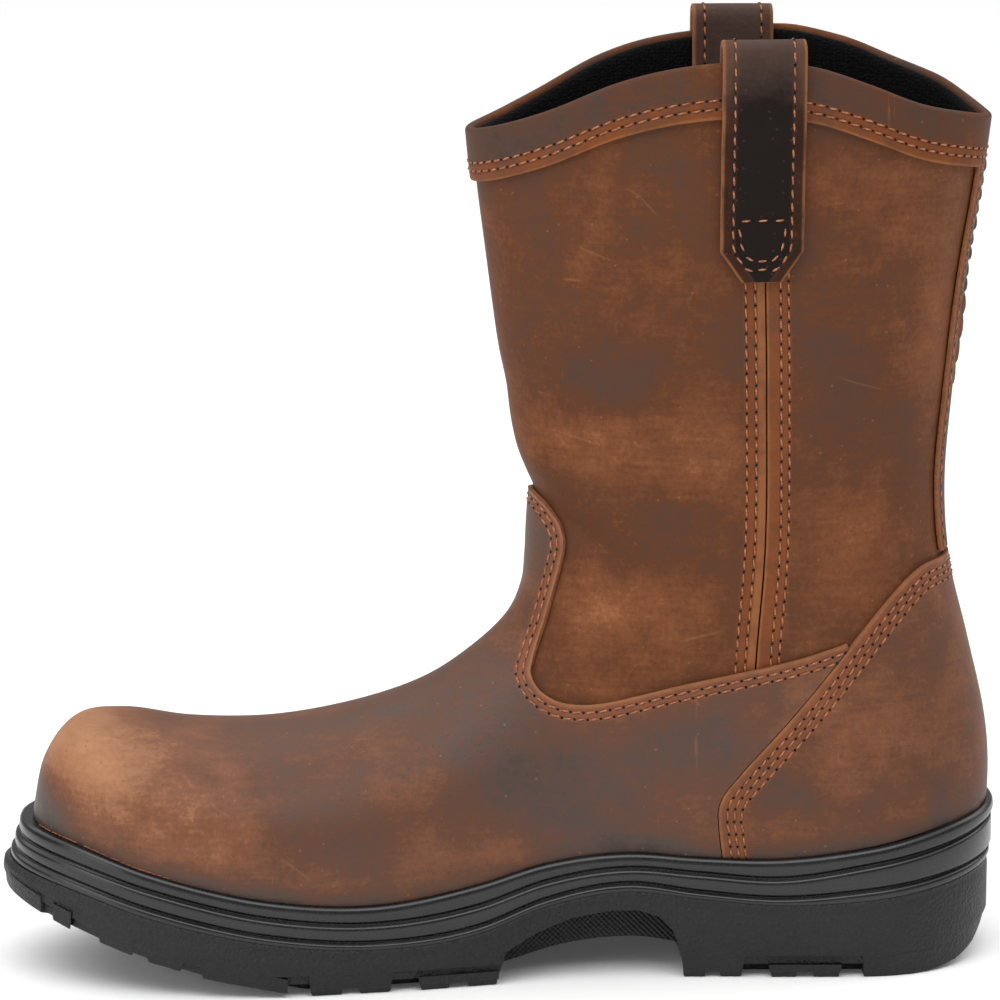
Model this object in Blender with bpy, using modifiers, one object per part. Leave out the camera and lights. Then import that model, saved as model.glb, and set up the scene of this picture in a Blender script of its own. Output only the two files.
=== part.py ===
"""Right-foot wellington work boot, built as an assembly of separate solids.

+X points to the toe, +Y to the inner side of the foot, +Z up.
The floor is z = 0. Tables are in millimetres and meshes are in metres.
"""
import math

import bmesh
import bpy
import numpy as np
from mathutils import Vector
from mathutils.bvhtree import BVHTree

MM = 0.001

# Thicknesses and gaps
GAP = 0.3
LIFT = 0.35
WALL = 2.2
OVERLAY = 1.5
BAND_WALL = 1.3
STRAP_THICK = 2.4
INSOLE_THICK = 3.5
INSOLE_GAP = 0.5

# Sole outline: how its two ends are rounded
TOE_X = 156.5
HEEL_X = -156.5
TOE_ROUND_FROM = 95.0
HEEL_ROUND_FROM = -112.0
TOE_ROUND_POWER = 2.3
HEEL_ROUND_POWER = 2.2
OUTLINE_STEPS = 30

# Sole lines from heel to toe: outline of the widest line at each side, then heights
SOLE_COLUMNS = ("x", "inner", "outer", "feather", "rib_1", "rib_2", "split")
SOLE_ROWS = (
    (-156.5, 39.0, -39.0, 49.5, 44.6, 34.2, 31.8),
    (-140.0, 40.0, -40.0, 46.6, 40.6, 31.4, 28.6),
    (-115.0, 41.0, -41.0, 41.4, 35.8, 28.0, 25.0),
    (-85.0, 40.0, -40.5, 37.8, 31.4, 25.5, 23.4),
    (-60.0, 38.8, -40.0, 38.5, 33.2, 27.6, 25.6),
    (-38.0, 38.0, -41.5, 40.0, 35.0, 30.4, 28.0),
    (-12.0, 40.0, -45.5, 37.4, 31.6, 26.2, 24.0),
    (8.0, 44.0, -49.5, 32.4, 25.6, 19.4, 17.2),
    (40.0, 50.0, -53.2, 27.8, 21.8, 16.2, 14.2),
    (75.0, 53.4, -52.0, 30.6, 25.0, 19.6, 17.4),
    (110.0, 51.0, -46.0, 38.7, 33.2, 27.6, 25.0),
    (135.0, 48.0, -39.0, 45.9, 39.8, 34.6, 32.0),
    (156.5, 45.0, -31.0, 48.6, 43.6, 39.0, 36.0),
)

# Inset of each line of the sole from the widest outline
INSET_COLUMNS = ("toe", "side", "heel")
INSETS = {
    "outsole": (0.0, 0.4, 1.6),
    "rib": (2.4, 0.5, 1.0),
    "lower_band": (3.8, 1.0, 0.5),
    "upper_band": (5.2, 1.6, 0.0),
    "skin": (11.3, 6.0, 4.6),
    "insole": (18.0, 10.2, 11.5),
    "shank": (9.0, 9.0, 9.0),
}

# Midsole profile from top to bottom: line, sideways step in, height line, rise
BAND_COLUMNS = ("inset", "step", "line", "rise")
BAND_ROWS = (
    ("upper_band", 1.6, "feather", 0.0),
    ("upper_band", 0.4, "feather", -0.7),
    ("upper_band", 0.0, "feather", -2.2),
    ("upper_band", 0.0, "rib_1", 0.8),
    ("lower_band", 1.4, "rib_1", 0.0),
    ("lower_band", 0.0, "rib_1", -0.9),
    ("lower_band", 0.0, "rib_2", 0.7),
    ("rib", 1.3, "rib_2", 0.0),
    ("rib", 0.0, "rib_2", -0.8),
    ("rib", 0.6, "split", 0.0),
)

# Underside: lower edge of the sole wall, with the arch, then the floor line of the lugs
WALL_COLUMNS = ("x", "base")
WALL_ROWS = (
    (-156.5, 14.0),
    (-140.0, 9.0),
    (-118.0, 7.0),
    (-54.4, 7.0),
    (-53.8, 10.4),
    (-51.8, 15.6),
    (-47.6, 19.8),
    (-41.0, 22.0),
    (-32.0, 22.0),
    (-20.0, 20.0),
    (-9.0, 15.8),
    (0.4, 10.2),
    (1.2, 6.6),
    (75.0, 6.8),
    (95.0, 10.4),
    (110.0, 14.6),
    (135.0, 23.2),
    (156.5, 31.0),
)
ARCH_FROM = -55.0
ARCH_TO = 2.0
TREAD_COLUMNS = ("x", "floor")
TREAD_ROWS = (
    (-156.5, 16.0),
    (-152.5, 10.5),
    (-148.0, 5.2),
    (-142.0, 2.0),
    (-134.0, 0.5),
    (-126.0, 0.0),
    (63.0, 0.0),
    (70.0, 1.7),
    (93.0, 6.2),
    (110.0, 10.6),
    (127.0, 16.2),
    (143.0, 22.4),
    (156.5, 27.4),
)
LUG_SINK = 2.0
LUG_COLUMNS = ("back", "front", "set_in", "reach")
LUG_ROWS = (
    (-104.5, -81.9, 1.6, 20.0),
    (-74.8, -54.1, 0.6, 21.0),
    (2.4, 27.6, 1.6, 20.0),
    (35.0, 62.2, 0.6, 22.0),
    (68.0, 94.5, 1.6, 20.0),
    (99.4, 127.3, 0.6, 22.0),
)
NOTCH_DEPTH = 3.0
LUG_DRAFT = 1.4
# Blocks around the toe and the heel: where each starts, which end it goes around, then
# its reach, half gap at the middle, steps and the steps that are notched
END_LUG_COLUMNS = ("start", "end", "reach", "gap", "steps", "notches")
TOE_LUG = (134.6, 0, 20.0, 1.2, 8, (2,))
HEEL_LUG = (-111.2, 1, 21.0, 0.0, 6, ())
END_LUG_SET_IN = 0.6
END_LUG_DRAFT = 0.7
CENTRE_COLUMNS = ("back", "front", "half_width", "sweep")
CENTRE_ROWS = (
    (-124.0, -110.0, 11.0, 5.0),
    (-104.0, -86.0, 13.0, 5.0),
    (-74.0, -60.0, 13.0, 5.0),
    (8.0, 26.0, 14.0, 6.0),
    (36.0, 54.0, 17.0, 6.0),
    (64.0, 82.0, 18.0, 6.0),
    (92.0, 108.0, 16.0, 6.0),
)
# Block that fills the arch: its lower edge from back to front
SHANK_COLUMNS = ("x", "floor")
SHANK_ROWS = (
    (-58.0, 8.6),
    (-52.0, 9.8),
    (-43.0, 11.2),
    (-32.0, 11.2),
    (-17.0, 9.4),
    (-1.0, 5.4),
    (5.0, 4.2),
)
SHANK_STEPS = 9

# Foot sections, toe to heel. Each starts on the feather edge at edge_x and leans to its
# ridge. Swell is how far the section bulges past the edge, widest is where it does so,
# crown and lower are the powers of its upper and lower curves.
SKIRT = 1.6
LEAST_SWELL = 0.3
FOOT_COLUMNS = ("edge_x", "ridge_x", "ridge_z", "ridge_y", "swell_in", "swell_out",
                "widest", "crown", "lower")
FOOT_ROWS = (
    (145.2, 145.2, 48.6, 5.8, 0.0, 0.0, 0.34, 2.2, 2.0),
    (142.6, 141.3, 65.2, 5.8, 0.5, 0.5, 0.34, 2.3, 2.0),
    (134.2, 132.0, 75.8, 5.8, 1.0, 1.0, 0.34, 2.5, 2.0),
    (120.2, 117.6, 76.2, 5.8, 1.2, 1.4, 0.33, 2.6, 2.0),
    (100.2, 97.0, 72.6, 5.4, 1.6, 1.8, 0.32, 2.4, 2.0),
    (75.2, 71.5, 72.8, 5.0, 2.0, 2.2, 0.31, 2.2, 2.0),
    (47.2, 46.0, 77.6, 4.6, 2.0, 2.4, 0.30, 2.1, 2.0),
    (19.2, 24.0, 85.6, 4.0, 2.0, 2.4, 0.29, 2.0, 2.0),
    (-8.8, 8.4, 96.0, 3.0, 2.2, 2.2, 0.28, 2.0, 2.0),
    (-39.0, -3.2, 107.4, 2.0, 2.4, 1.6, 0.30, 2.0, 2.0),
    (-75.0, -8.2, 118.0, 1.0, 3.0, 3.0, 0.36, 2.0, 2.0),
    (-110.0, -9.4, 128.0, 0.5, 1.6, 1.6, 0.42, 2.0, 2.6),
    (-135.0, -9.8, 136.4, 0.2, 7.5, 7.5, 0.46, 2.0, 3.2),
    (-148.4, -10.2, 143.0, 0.0, 21.0, 21.0, 0.50, 2.0, 3.0),
)
# Shaft sections, heel to above the collar. Each closes on the back seam.
SHAFT_COLUMNS = ("back_x", "back_z", "front_x", "front_z", "half_in", "half_out",
                 "widest", "front", "back")
SHAFT_ROWS = (
    (-151.9, 47.6, -10.6, 149.0, 36.6, 36.6, 0.50, 2.0, 2.6),
    (-152.6, 62.0, -8.4, 155.0, 36.8, 36.8, 0.52, 2.0, 2.5),
    (-150.8, 78.0, -4.9, 164.0, 37.1, 37.1, 0.53, 2.0, 2.4),
    (-145.4, 101.0, -2.3, 175.0, 37.6, 37.6, 0.53, 2.0, 2.3),
    (-139.6, 125.0, -0.1, 189.5, 38.4, 38.4, 0.52, 2.0, 2.1),
    (-137.6, 150.0, 2.2, 206.0, 39.6, 39.6, 0.51, 2.0, 2.0),
    (-139.4, 179.0, 4.8, 226.0, 41.0, 41.0, 0.50, 2.0, 2.0),
    (-143.2, 216.0, 7.0, 243.0, 42.2, 42.2, 0.50, 2.0, 2.0),
    (-148.3, 250.0, 8.8, 260.0, 43.4, 43.4, 0.50, 2.0, 2.0),
    (-154.0, 299.0, 12.4, 301.0, 44.6, 44.6, 0.50, 2.0, 2.0),
)
FINE_SECTIONS = (0, 1, 2, 3, 4, 5, 11, 12, 13)
LOWER_STEPS = 4
UPPER_STEPS = 5

# Collar line of the shaft and the depth of the band folded over it
RIM_COLUMNS = ("x", "z")
RIM_ROWS = (
    (-160.0, 262.5),
    (-142.0, 267.0),
    (-126.0, 271.2),
    (-109.0, 278.2),
    (-92.0, 284.0),
    (-76.0, 285.6),
    (-60.0, 285.2),
    (-34.0, 279.4),
    (-13.0, 269.8),
    (20.0, 257.0),
)
# Rise of the collar line on the outer side over the inner one, and half its width
RIM_OUTER_COLUMNS = ("x", "rise")
RIM_OUTER_ROWS = (
    (-160.0, 0.5),
    (-150.0, 2.6),
    (-137.0, 5.4),
    (-118.0, 6.5),
    (-98.0, 4.1),
    (-76.0, 0.3),
    (-40.0, -0.9),
    (-10.0, -1.6),
    (20.0, -1.6),
)
RIM_HALF = 44.0
BAND_RISE = 1.7
BAND_DEPTH = 15.5

# Trim blocks reach past the boot: to its ends, above the instep, and to its sides
TRIM_X = 165.0
TRIM_Y = 90.0
INSTEP_X = 40.0
INSTEP_Z = 180.0
RIM_STEPS = 12

# Edges of the overlays in the side view, from the front or top on
VAMP_EDGE_COLUMNS = ("x", "z")
VAMP_EDGE_ROWS = (
    (12.0, 153.5),
    (-9.0, 149.8),
    (-16.8, 143.6),
    (-19.6, 136.2),
    (-18.2, 126.8),
    (-14.2, 111.8),
    (-9.8, 99.0),
    (-8.8, 94.0),
    (-12.2, 89.2),
    (-19.6, 86.7),
    (-32.0, 87.8),
    (-57.0, 94.2),
    (-90.0, 101.6),
    (-118.0, 110.4),
)
COUNTER_EDGE_COLUMNS = ("x", "z")
COUNTER_EDGE_ROWS = (
    (-170.0, 130.5),
    (-139.0, 128.2),
    (-127.0, 126.0),
    (-113.0, 113.4),
    (-90.0, 85.0),
    (-73.0, 65.8),
    (-66.6, 57.0),
    (-66.2, 48.0),
    (-69.0, 30.0),
)
EDGE_STEPS = 2
BACKSTAY_HALF = 12.0
BACKSTAY_LOW = 129.6
BACKSTAY_HIGH = 249.0
BACKSTAY_FRONT = -110.0

# Pull straps: width, place and the path of the folded loop beside the shaft wall
STRAP_X = -76.2
STRAP_HALF = 12.7
STRAP_END_HALF = 6.2
STRAP_TAPER_Z = 230.0
STRAP_COLUMNS = ("z", "stand_off")
STRAP_OUT_ROWS = (
    (220.6, 1.7),
    (225.0, 1.7),
    (230.0, 1.7),
    (248.0, 1.7),
    (262.0, 2.3),
    (269.0, 3.4),
    (278.0, 3.5),
    (286.0, 3.4),
)
STRAP_IN_ROWS = (
    (286.0, -5.8),
    (278.0, -5.9),
    (269.0, -5.8),
    (262.0, -4.8),
    (248.0, -4.2),
)
STRAP_TOP_Z = 292.8
STRAP_ARCH_STEPS = 6
STRAP_ARCH_POWER = 0.55
STRAP_ACROSS = 4

LEATHER = ((0.205, 0.092, 0.045, 1.0), 0.62)
DARK_LEATHER = ((0.060, 0.032, 0.022, 1.0), 0.58)
TREAD_RUBBER = ((0.022, 0.022, 0.025, 1.0), 0.75)
BAND_RUBBER = ((0.025, 0.025, 0.028, 1.0), 0.45)
FABRIC = ((0.020, 0.021, 0.026, 1.0), 0.90)


def column(rows, names, name):
    place = names.index(name)
    return np.array([row[place] for row in rows], float)


def smooth(knots, values, x):
    """Cubic curve through the knots, with slopes from the neighbouring rows."""
    slopes = np.gradient(values, knots)
    x = min(max(x, knots[0]), knots[-1])
    i = int(min(max(np.searchsorted(knots, x) - 1, 0), len(knots) - 2))
    span = knots[i + 1] - knots[i]
    t = (x - knots[i]) / span
    start = (2 * t ** 3 - 3 * t ** 2 + 1) * values[i]
    start += (t ** 3 - 2 * t ** 2 + t) * span * slopes[i]
    end = (3 * t ** 2 - 2 * t ** 3) * values[i + 1]
    end += (t ** 3 - t ** 2) * span * slopes[i + 1]
    return start + end


SOLE_X = column(SOLE_ROWS, SOLE_COLUMNS, "x")
SOLE = {}
for sole_name in SOLE_COLUMNS:
    SOLE[sole_name] = column(SOLE_ROWS, SOLE_COLUMNS, sole_name)


def sole_line(name, x):
    return smooth(SOLE_X, SOLE[name], x)


def tread_floor(x):
    knots = column(TREAD_ROWS, TREAD_COLUMNS, "x")
    floors = column(TREAD_ROWS, TREAD_COLUMNS, "floor")
    return float(np.interp(x, knots, floors))


def shank_floor(x):
    knots = column(SHANK_ROWS, SHANK_COLUMNS, "x")
    floors = column(SHANK_ROWS, SHANK_COLUMNS, "floor")
    return float(np.interp(x, knots, floors))


def wall_base(x):
    knots = column(WALL_ROWS, WALL_COLUMNS, "x")
    bases = column(WALL_ROWS, WALL_COLUMNS, "base")
    return float(np.interp(x, knots, bases))


def end_round(x, toe_x, heel_x):
    """Factor that brings the outline to a rounded end at toe and heel."""
    if x > TOE_ROUND_FROM:
        share = min((x - TOE_ROUND_FROM) / (toe_x - TOE_ROUND_FROM), 1.0)
        return (1.0 - share ** TOE_ROUND_POWER) ** (1.0 / TOE_ROUND_POWER)
    if x < HEEL_ROUND_FROM:
        share = min((HEEL_ROUND_FROM - x) / (HEEL_ROUND_FROM - heel_x), 1.0)
        return (1.0 - share ** HEEL_ROUND_POWER) ** (1.0 / HEEL_ROUND_POWER)
    return 1.0


def ends_of(inset):
    return TOE_X - inset[0], HEEL_X + inset[2]


def side_of(x, inset, side):
    """Y of the sole outline, drawn in by the inset; side is +1 inner, -1 outer."""
    toe_x, heel_x = ends_of(inset)
    inner = sole_line("inner", x)
    outer = sole_line("outer", x)
    centre = 0.5 * (inner + outer)
    half = 0.5 * (inner - outer) - inset[1]
    return centre + side * half * end_round(x, toe_x, heel_x)


def stations(inset, arch=False):
    """X stations of an outline, close together at its ends and, if asked, at the arch."""
    toe_x, heel_x = ends_of(inset)
    places = []
    if arch:
        places = [row[0] for row in WALL_ROWS if ARCH_FROM < row[0] < ARCH_TO]
    for i in range(OUTLINE_STEPS + 1):
        share = 0.5 - 0.5 * math.cos(math.pi * i / OUTLINE_STEPS)
        x = heel_x + share * (toe_x - heel_x)
        if not (arch and ARCH_FROM < x < ARCH_TO):
            places.append(x)
    return sorted(places)


def ring_of(inset, height, arch=False):
    """Closed ring of points around an outline; height gives z at each x."""
    xs = stations(inset, arch)
    ring = []
    for x in xs:
        ring.append((x, side_of(x, inset, 1.0), height(x)))
    for x in reversed(xs[1:-1]):
        ring.append((x, side_of(x, inset, -1.0), height(x)))
    return ring


def ring_caps(count, first, upward):
    """Strips of faces across a ring, from its heel end to its toe end."""
    faces = []
    last = count // 2
    for i in range(last):
        left = [first + i, first + i + 1]
        right = [first + (count - i) % count, first + (count - i - 1) % count]
        loop = [left[0], left[1], right[1], right[0]]
        cut = []
        for index in loop:
            if index not in cut:
                cut.append(index)
        faces.append(cut if not upward else cut[::-1])
    return faces


def add_object(name, points, faces, home, paint=None, triangles=False):
    mesh = bpy.data.meshes.new(name)
    metres = [(p[0] * MM, p[1] * MM, p[2] * MM) for p in points]
    mesh.from_pydata(metres, [], faces)
    body = bpy.data.objects.new(name, mesh)
    home.objects.link(body)
    work = bmesh.new()
    work.from_mesh(mesh)
    bmesh.ops.remove_doubles(work, verts=work.verts, dist=0.00002)
    if triangles:
        bmesh.ops.triangulate(work, faces=work.faces, quad_method="FIXED")
    bmesh.ops.recalc_face_normals(work, faces=work.faces)
    work.to_mesh(mesh)
    work.free()
    if paint is not None:
        mesh.materials.append(paint)
    return body


def apply_modifiers(body):
    depsgraph = bpy.context.evaluated_depsgraph_get()
    mesh = bpy.data.meshes.new_from_object(body.evaluated_get(depsgraph))
    body.modifiers.clear()
    body.data = mesh


def combine(body, other, how):
    tool = body.modifiers.new(how.lower(), "BOOLEAN")
    tool.operation = how
    tool.solver = "EXACT"
    tool.object = other
    bpy.context.view_layer.update()
    apply_modifiers(body)


def paint_of(name, look):
    paint = bpy.data.materials.new(name)
    paint.use_nodes = True
    shader = paint.node_tree.nodes["Principled BSDF"]
    shader.inputs["Base Color"].default_value = look[0]
    shader.inputs["Roughness"].default_value = look[1]
    shader.inputs["Metallic"].default_value = 0.0
    paint.diffuse_color = look[0]
    return paint


def ring_solid(name, rings, home, paint):
    points = []
    for ring in rings:
        points.extend(ring)
    count = len(rings[0])
    faces = []
    for level in range(len(rings) - 1):
        high = level * count
        low = high + count
        for i in range(count):
            j = (i + 1) % count
            faces.append([high + i, high + j, low + j, low + i])
    faces.extend(ring_caps(count, 0, True))
    faces.extend(ring_caps(count, (len(rings) - 1) * count, False))
    return add_object(name, points, faces, home, paint)


def stepped_inset(name, step):
    toe, side, heel = INSETS[name]
    return toe + step, side + step, heel + step


def make_midsole(home, paint):
    rings = []
    for inset_name, step, line, rise in BAND_ROWS:
        inset = stepped_inset(inset_name, step)
        height = (lambda x, k=line, r=rise: sole_line(k, x) + r)
        rings.append(ring_of(inset, height, True))
    return ring_solid("midsole", rings, home, paint)


def make_insole(home, paint):
    inset = INSETS["insole"]
    top = INSOLE_GAP + INSOLE_THICK
    rings = [
        ring_of(inset, lambda x: sole_line("feather", x) + top, True),
        ring_of(inset, lambda x: sole_line("feather", x) + INSOLE_GAP, True),
    ]
    return ring_solid("insole", rings, home, paint)


def prism(name, plan, low, high, home, draft=0.0):
    """Upright prism over a plan outline, with low and high giving z at each x.

    Draft draws the lower end in towards the middle of the plan.
    """
    count = len(plan)
    mid_x = sum(p[0] for p in plan) / count
    mid_y = sum(p[1] for p in plan) / count
    points = []
    for x, y in plan:
        points.append((x, y, high(x)))
    for x, y in plan:
        run = math.hypot(x - mid_x, y - mid_y)
        share = 1.0 - draft / run
        low_x = mid_x + (x - mid_x) * share
        low_y = mid_y + (y - mid_y) * share
        points.append((low_x, low_y, low(low_x)))
    faces = [list(range(count)), list(range(2 * count - 1, count - 1, -1))]
    for i in range(count):
        j = (i + 1) % count
        faces.append([i, i + count, j + count, j])
    return add_object(name, points, faces, home, triangles=True)


def lug_plan(row, side):
    back, front, set_in, reach = row
    inset = stepped_inset("outsole", set_in)
    steps = 3
    edge = []
    for i in range(steps + 1):
        x = back + (front - back) * i / steps
        edge.append((x, side_of(x, inset, side)))
    inner = []
    for x in (front - 2.0, back + 2.0):
        inner.append((x, side_of(x, inset, side) - side * reach))
    return edge + inner


def end_lug_edges(row, side):
    """Outer and inner edge of the half block around an end, from its start to the tip."""
    start, end, reach, gap, steps, notches = row
    outer = []
    inner = []
    for i in range(steps + 1):
        share = math.sin(0.5 * math.pi * i / steps)
        cut = NOTCH_DEPTH if i in notches else 0.0
        inset = stepped_inset("outsole", END_LUG_SET_IN + cut)
        x = start + share * (ends_of(inset)[end] - start)
        outer.append((x, side_of(x, inset, side) + side * gap))
        if i % 2 == 0:
            inset = stepped_inset("outsole", reach)
            x = start + share * (ends_of(inset)[end] - start)
            inner.append((x, side_of(x, inset, side) + side * gap))
    return outer, inner


def toe_lug_plan(side):
    """Half of the bumper around the toe."""
    outer, inner = end_lug_edges(TOE_LUG, side)
    return outer + inner[::-1]


def heel_lug_plan():
    """Block around the back of the heel."""
    outer, inner = end_lug_edges(HEEL_LUG, 1.0)
    far_outer, far_inner = end_lug_edges(HEEL_LUG, -1.0)
    return outer + far_outer[-2::-1] + far_inner + inner[-2::-1]


def centre_plan(row):
    back, front, half_width, sweep = row
    mid = 0.5 * (back + front)
    y = 0.5 * (sole_line("inner", mid) + sole_line("outer", mid))
    return [
        (back, y - half_width),
        (back + sweep, y),
        (back, y + half_width),
        (front - sweep, y + half_width),
        (front, y),
        (front - sweep, y - half_width),
    ]


def make_outsole(home, cutters, paint):
    split_inset = stepped_inset("outsole", 0.7)
    rings = [
        ring_of(split_inset, lambda x: sole_line("split", x) - GAP, True),
        ring_of(INSETS["outsole"], lambda x: sole_line("split", x) - GAP - 0.9, True),
        ring_of(INSETS["outsole"], wall_base, True),
    ]
    body = ring_solid("outsole", rings, home, paint)
    plans = []
    for row in LUG_ROWS:
        plans.append((lug_plan(row, 1.0), LUG_DRAFT))
        plans.append((lug_plan(row, -1.0), LUG_DRAFT))
    for row in CENTRE_ROWS:
        plans.append((centre_plan(row), LUG_DRAFT))
    plans.append((toe_lug_plan(1.0), END_LUG_DRAFT))
    plans.append((toe_lug_plan(-1.0), END_LUG_DRAFT))
    plans.append((heel_lug_plan(), END_LUG_DRAFT))
    for i, (plan, draft) in enumerate(plans):
        lug = prism("lug_%d" % i, plan, tread_floor,
                    lambda x: wall_base(x) + LUG_SINK, cutters, draft)
        combine(body, lug, "UNION")
    xs = np.linspace(SHANK_ROWS[0][0], SHANK_ROWS[-1][0], SHANK_STEPS + 1)
    inner = [(x, side_of(x, INSETS["shank"], 1.0)) for x in xs]
    outer = [(x, side_of(x, INSETS["shank"], -1.0)) for x in xs[::-1]]
    shank = prism("shank", inner + outer,
                  lambda x: min(shank_floor(x), wall_base(x) - 0.5),
                  lambda x: wall_base(x) + LUG_SINK, cutters)
    combine(body, shank, "UNION")
    return body


def edge_span(x):
    """Middle and half width of the feather edge at a station."""
    inner = side_of(x, INSETS["skin"], 1.0)
    outer = side_of(x, INSETS["skin"], -1.0)
    return 0.5 * (inner + outer), 0.5 * (inner - outer)


def section_rows():
    """Rows of the form: foot sections, then shaft sections, in one set of columns."""
    rows = []
    for row in FOOT_ROWS:
        cells = dict(zip(FOOT_COLUMNS, row))
        edge_x = cells["edge_x"]
        half = edge_span(edge_x)[1]
        rows.append((edge_x, sole_line("feather", edge_x) - SKIRT,
                     cells["ridge_x"], cells["ridge_z"], cells["ridge_y"],
                     half + cells["swell_in"], half + cells["swell_out"],
                     cells["widest"], cells["crown"], cells["lower"]))
    for row in SHAFT_ROWS:
        cells = dict(zip(SHAFT_COLUMNS, row))
        rows.append((cells["back_x"], cells["back_z"], cells["front_x"],
                     cells["front_z"], 0.0, cells["half_in"], cells["half_out"],
                     cells["widest"], cells["front"], cells["back"]))
    return np.array(rows, float)


SECTIONS = section_rows()
SECTION_STEPS = np.arange(len(SECTIONS), dtype=float)


def section_at(place):
    values = []
    for i in range(SECTIONS.shape[1]):
        values.append(smooth(SECTION_STEPS, SECTIONS[:, i], place))
    if place < len(FOOT_ROWS):
        values[1] = sole_line("feather", values[0]) - SKIRT
    return values


def half_section(cells, place, side):
    """One side of a section, from its edge or back seam up to its ridge.

    The lower part is a stretch of a superellipse quarter that starts where the
    quarter is as wide as the edge, so a closed section has the whole quarter.
    """
    bx, bz, fx, fz, ridge_y, half_in, half_out, widest, crown, lower = cells
    middle_y = 0.0
    edge = 0.0
    if place < len(FOOT_ROWS):
        middle_y, edge = edge_span(bx)
    if place == 0.0:
        return [(bx, middle_y, bz)] * (LOWER_STEPS + UPPER_STEPS + 1)
    half = max(half_in if side > 0 else half_out, edge + LEAST_SWELL)
    first = math.asin((edge / half) ** (0.5 * lower))
    reach = math.cos(first) ** (2.0 / lower)
    points = []
    for i in range(LOWER_STEPS):
        angle = first + (0.5 * math.pi - first) * i / LOWER_STEPS
        up = widest * (1.0 - math.cos(angle) ** (2.0 / lower) / reach)
        y = middle_y + side * half * math.sin(angle) ** (2.0 / lower)
        points.append((bx + up * (fx - bx), y, bz + up * (fz - bz)))
    wide_y = middle_y + side * half
    for i in range(UPPER_STEPS + 1):
        angle = 0.5 * math.pi * i / UPPER_STEPS
        in_share = max(math.cos(angle), 0.0) ** (2.0 / crown)
        up = widest + (1.0 - widest) * math.sin(angle) ** (2.0 / crown)
        y = ridge_y + (wide_y - ridge_y) * in_share
        points.append((bx + up * (fx - bx), y, bz + up * (fz - bz)))
    return points


def skin_grid():
    """Grid of points of the last: rows run from the toe tip to above the collar."""
    grid = []
    places = []
    for i in range(len(SECTIONS)):
        places.append(float(i))
        if i in FINE_SECTIONS:
            places.append(i + 0.5)
    for place in places:
        cells = section_at(place)
        inner = half_section(cells, place, 1.0)
        outer = half_section(cells, place, -1.0)
        grid.append(outer + inner[-2::-1])
    return grid


def skin_object(name, home):
    """The last as an open surface whose normals point out."""
    grid = skin_grid()
    across = len(grid[0])
    points = []
    for row in grid:
        points.extend(row)
    faces = []
    for i in range(len(grid) - 1):
        for j in range(across - 1):
            a = i * across + j
            b = a + across
            if j < across // 2:
                faces.append([a, a + 1, b + 1])
                faces.append([a, b + 1, b])
            else:
                faces.append([a, a + 1, b])
                faces.append([a + 1, b + 1, b])
    body = add_object(name, points, faces, home)
    mesh = body.data
    middle = Vector((-70.0 * MM, 0.0, 150.0 * MM))
    outward = 0.0
    for face in mesh.polygons:
        outward += face.normal.dot(face.center - middle) * face.area
    if outward < 0.0:
        mesh.flip_normals()
    return body


def shell(name, home, low, high, paint=None):
    """Solid between two lifts off the last's surface."""
    body = skin_object(name, home)
    tool = body.modifiers.new("thickness", "SOLIDIFY")
    tool.thickness = (high - low) * MM
    tool.offset = (high + low) / (high - low)
    tool.use_even_offset = False
    apply_modifiers(body)
    if paint is not None:
        body.data.materials.clear()
        body.data.materials.append(paint)
    return body


def side_cutter(name, outline, home, outer=None):
    """Block along Y with the given outline in the side view.

    Outer is the outline at the end on the boot's outer side, where that one differs.
    """
    points = [(x, -TRIM_Y, z) for x, z in outer or outline]
    points += [(x, TRIM_Y, z) for x, z in outline]
    count = len(outline)
    faces = [list(range(count)), list(range(2 * count - 1, count - 1, -1))]
    for i in range(count):
        j = (i + 1) % count
        if outline[i][0] < outline[j][0]:
            faces.append([i, i + count, j + count])
            faces.append([i, j + count, j])
        else:
            faces.append([i, i + count, j])
            faces.append([i + count, j + count, j])
    return add_object(name, points, faces, home, triangles=True)


def rim_height(x):
    return smooth(column(RIM_ROWS, RIM_COLUMNS, "x"),
                  column(RIM_ROWS, RIM_COLUMNS, "z"), x)


def rim_tilt(x, side):
    """Rise of the tilted collar line at the end of the trim blocks on that side."""
    rise = smooth(column(RIM_OUTER_ROWS, RIM_OUTER_COLUMNS, "x"),
                  column(RIM_OUTER_ROWS, RIM_OUTER_COLUMNS, "rise"), x)
    return rise * 0.5 * (1.0 - side * TRIM_Y / RIM_HALF)


def rim_line(rise, side):
    """Side view of the collar line, raised, from behind the boot to its front."""
    xs = np.linspace(-TRIM_X, RIM_ROWS[-1][0] + 5.0, RIM_STEPS)
    return [(x, rim_height(x) + rim_tilt(x, side) + rise) for x in xs]


def rim_block(name, low, high, home):
    """Block along the collar, between two rises over its line."""
    ends = []
    for side in (1.0, -1.0):
        ends.append(rim_line(low, side) + rim_line(high, side)[::-1])
    return side_cutter(name, ends[0], home, ends[1])


def floor_line(rise):
    """Side view of the midsole's top, raised, at the midsole's own stations."""
    xs = stations(stepped_inset(BAND_ROWS[0][0], BAND_ROWS[0][1]), True)
    xs = [-TRIM_X] + xs + [TRIM_X]
    return [(x, sole_line("feather", x) + rise) for x in xs]


def edge_line(rows, steps=EDGE_STEPS):
    """Smooth side-view line through the rows of an edge table."""
    knots = np.arange(len(rows), dtype=float)
    xs = np.array([row[0] for row in rows], float)
    zs = np.array([row[1] for row in rows], float)
    line = []
    for i in range((len(rows) - 1) * steps + 1):
        place = i / steps
        line.append((smooth(knots, xs, place), smooth(knots, zs, place)))
    return line


def shifted(line, distance):
    """Line moved sideways, to its left as it runs."""
    points = np.array(line, float)
    runs = np.gradient(points, axis=0)
    runs /= np.linalg.norm(runs, axis=1)[:, None]
    left = np.stack([-runs[:, 1], runs[:, 0]], axis=1)
    return [tuple(p) for p in points + left * distance]


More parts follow.
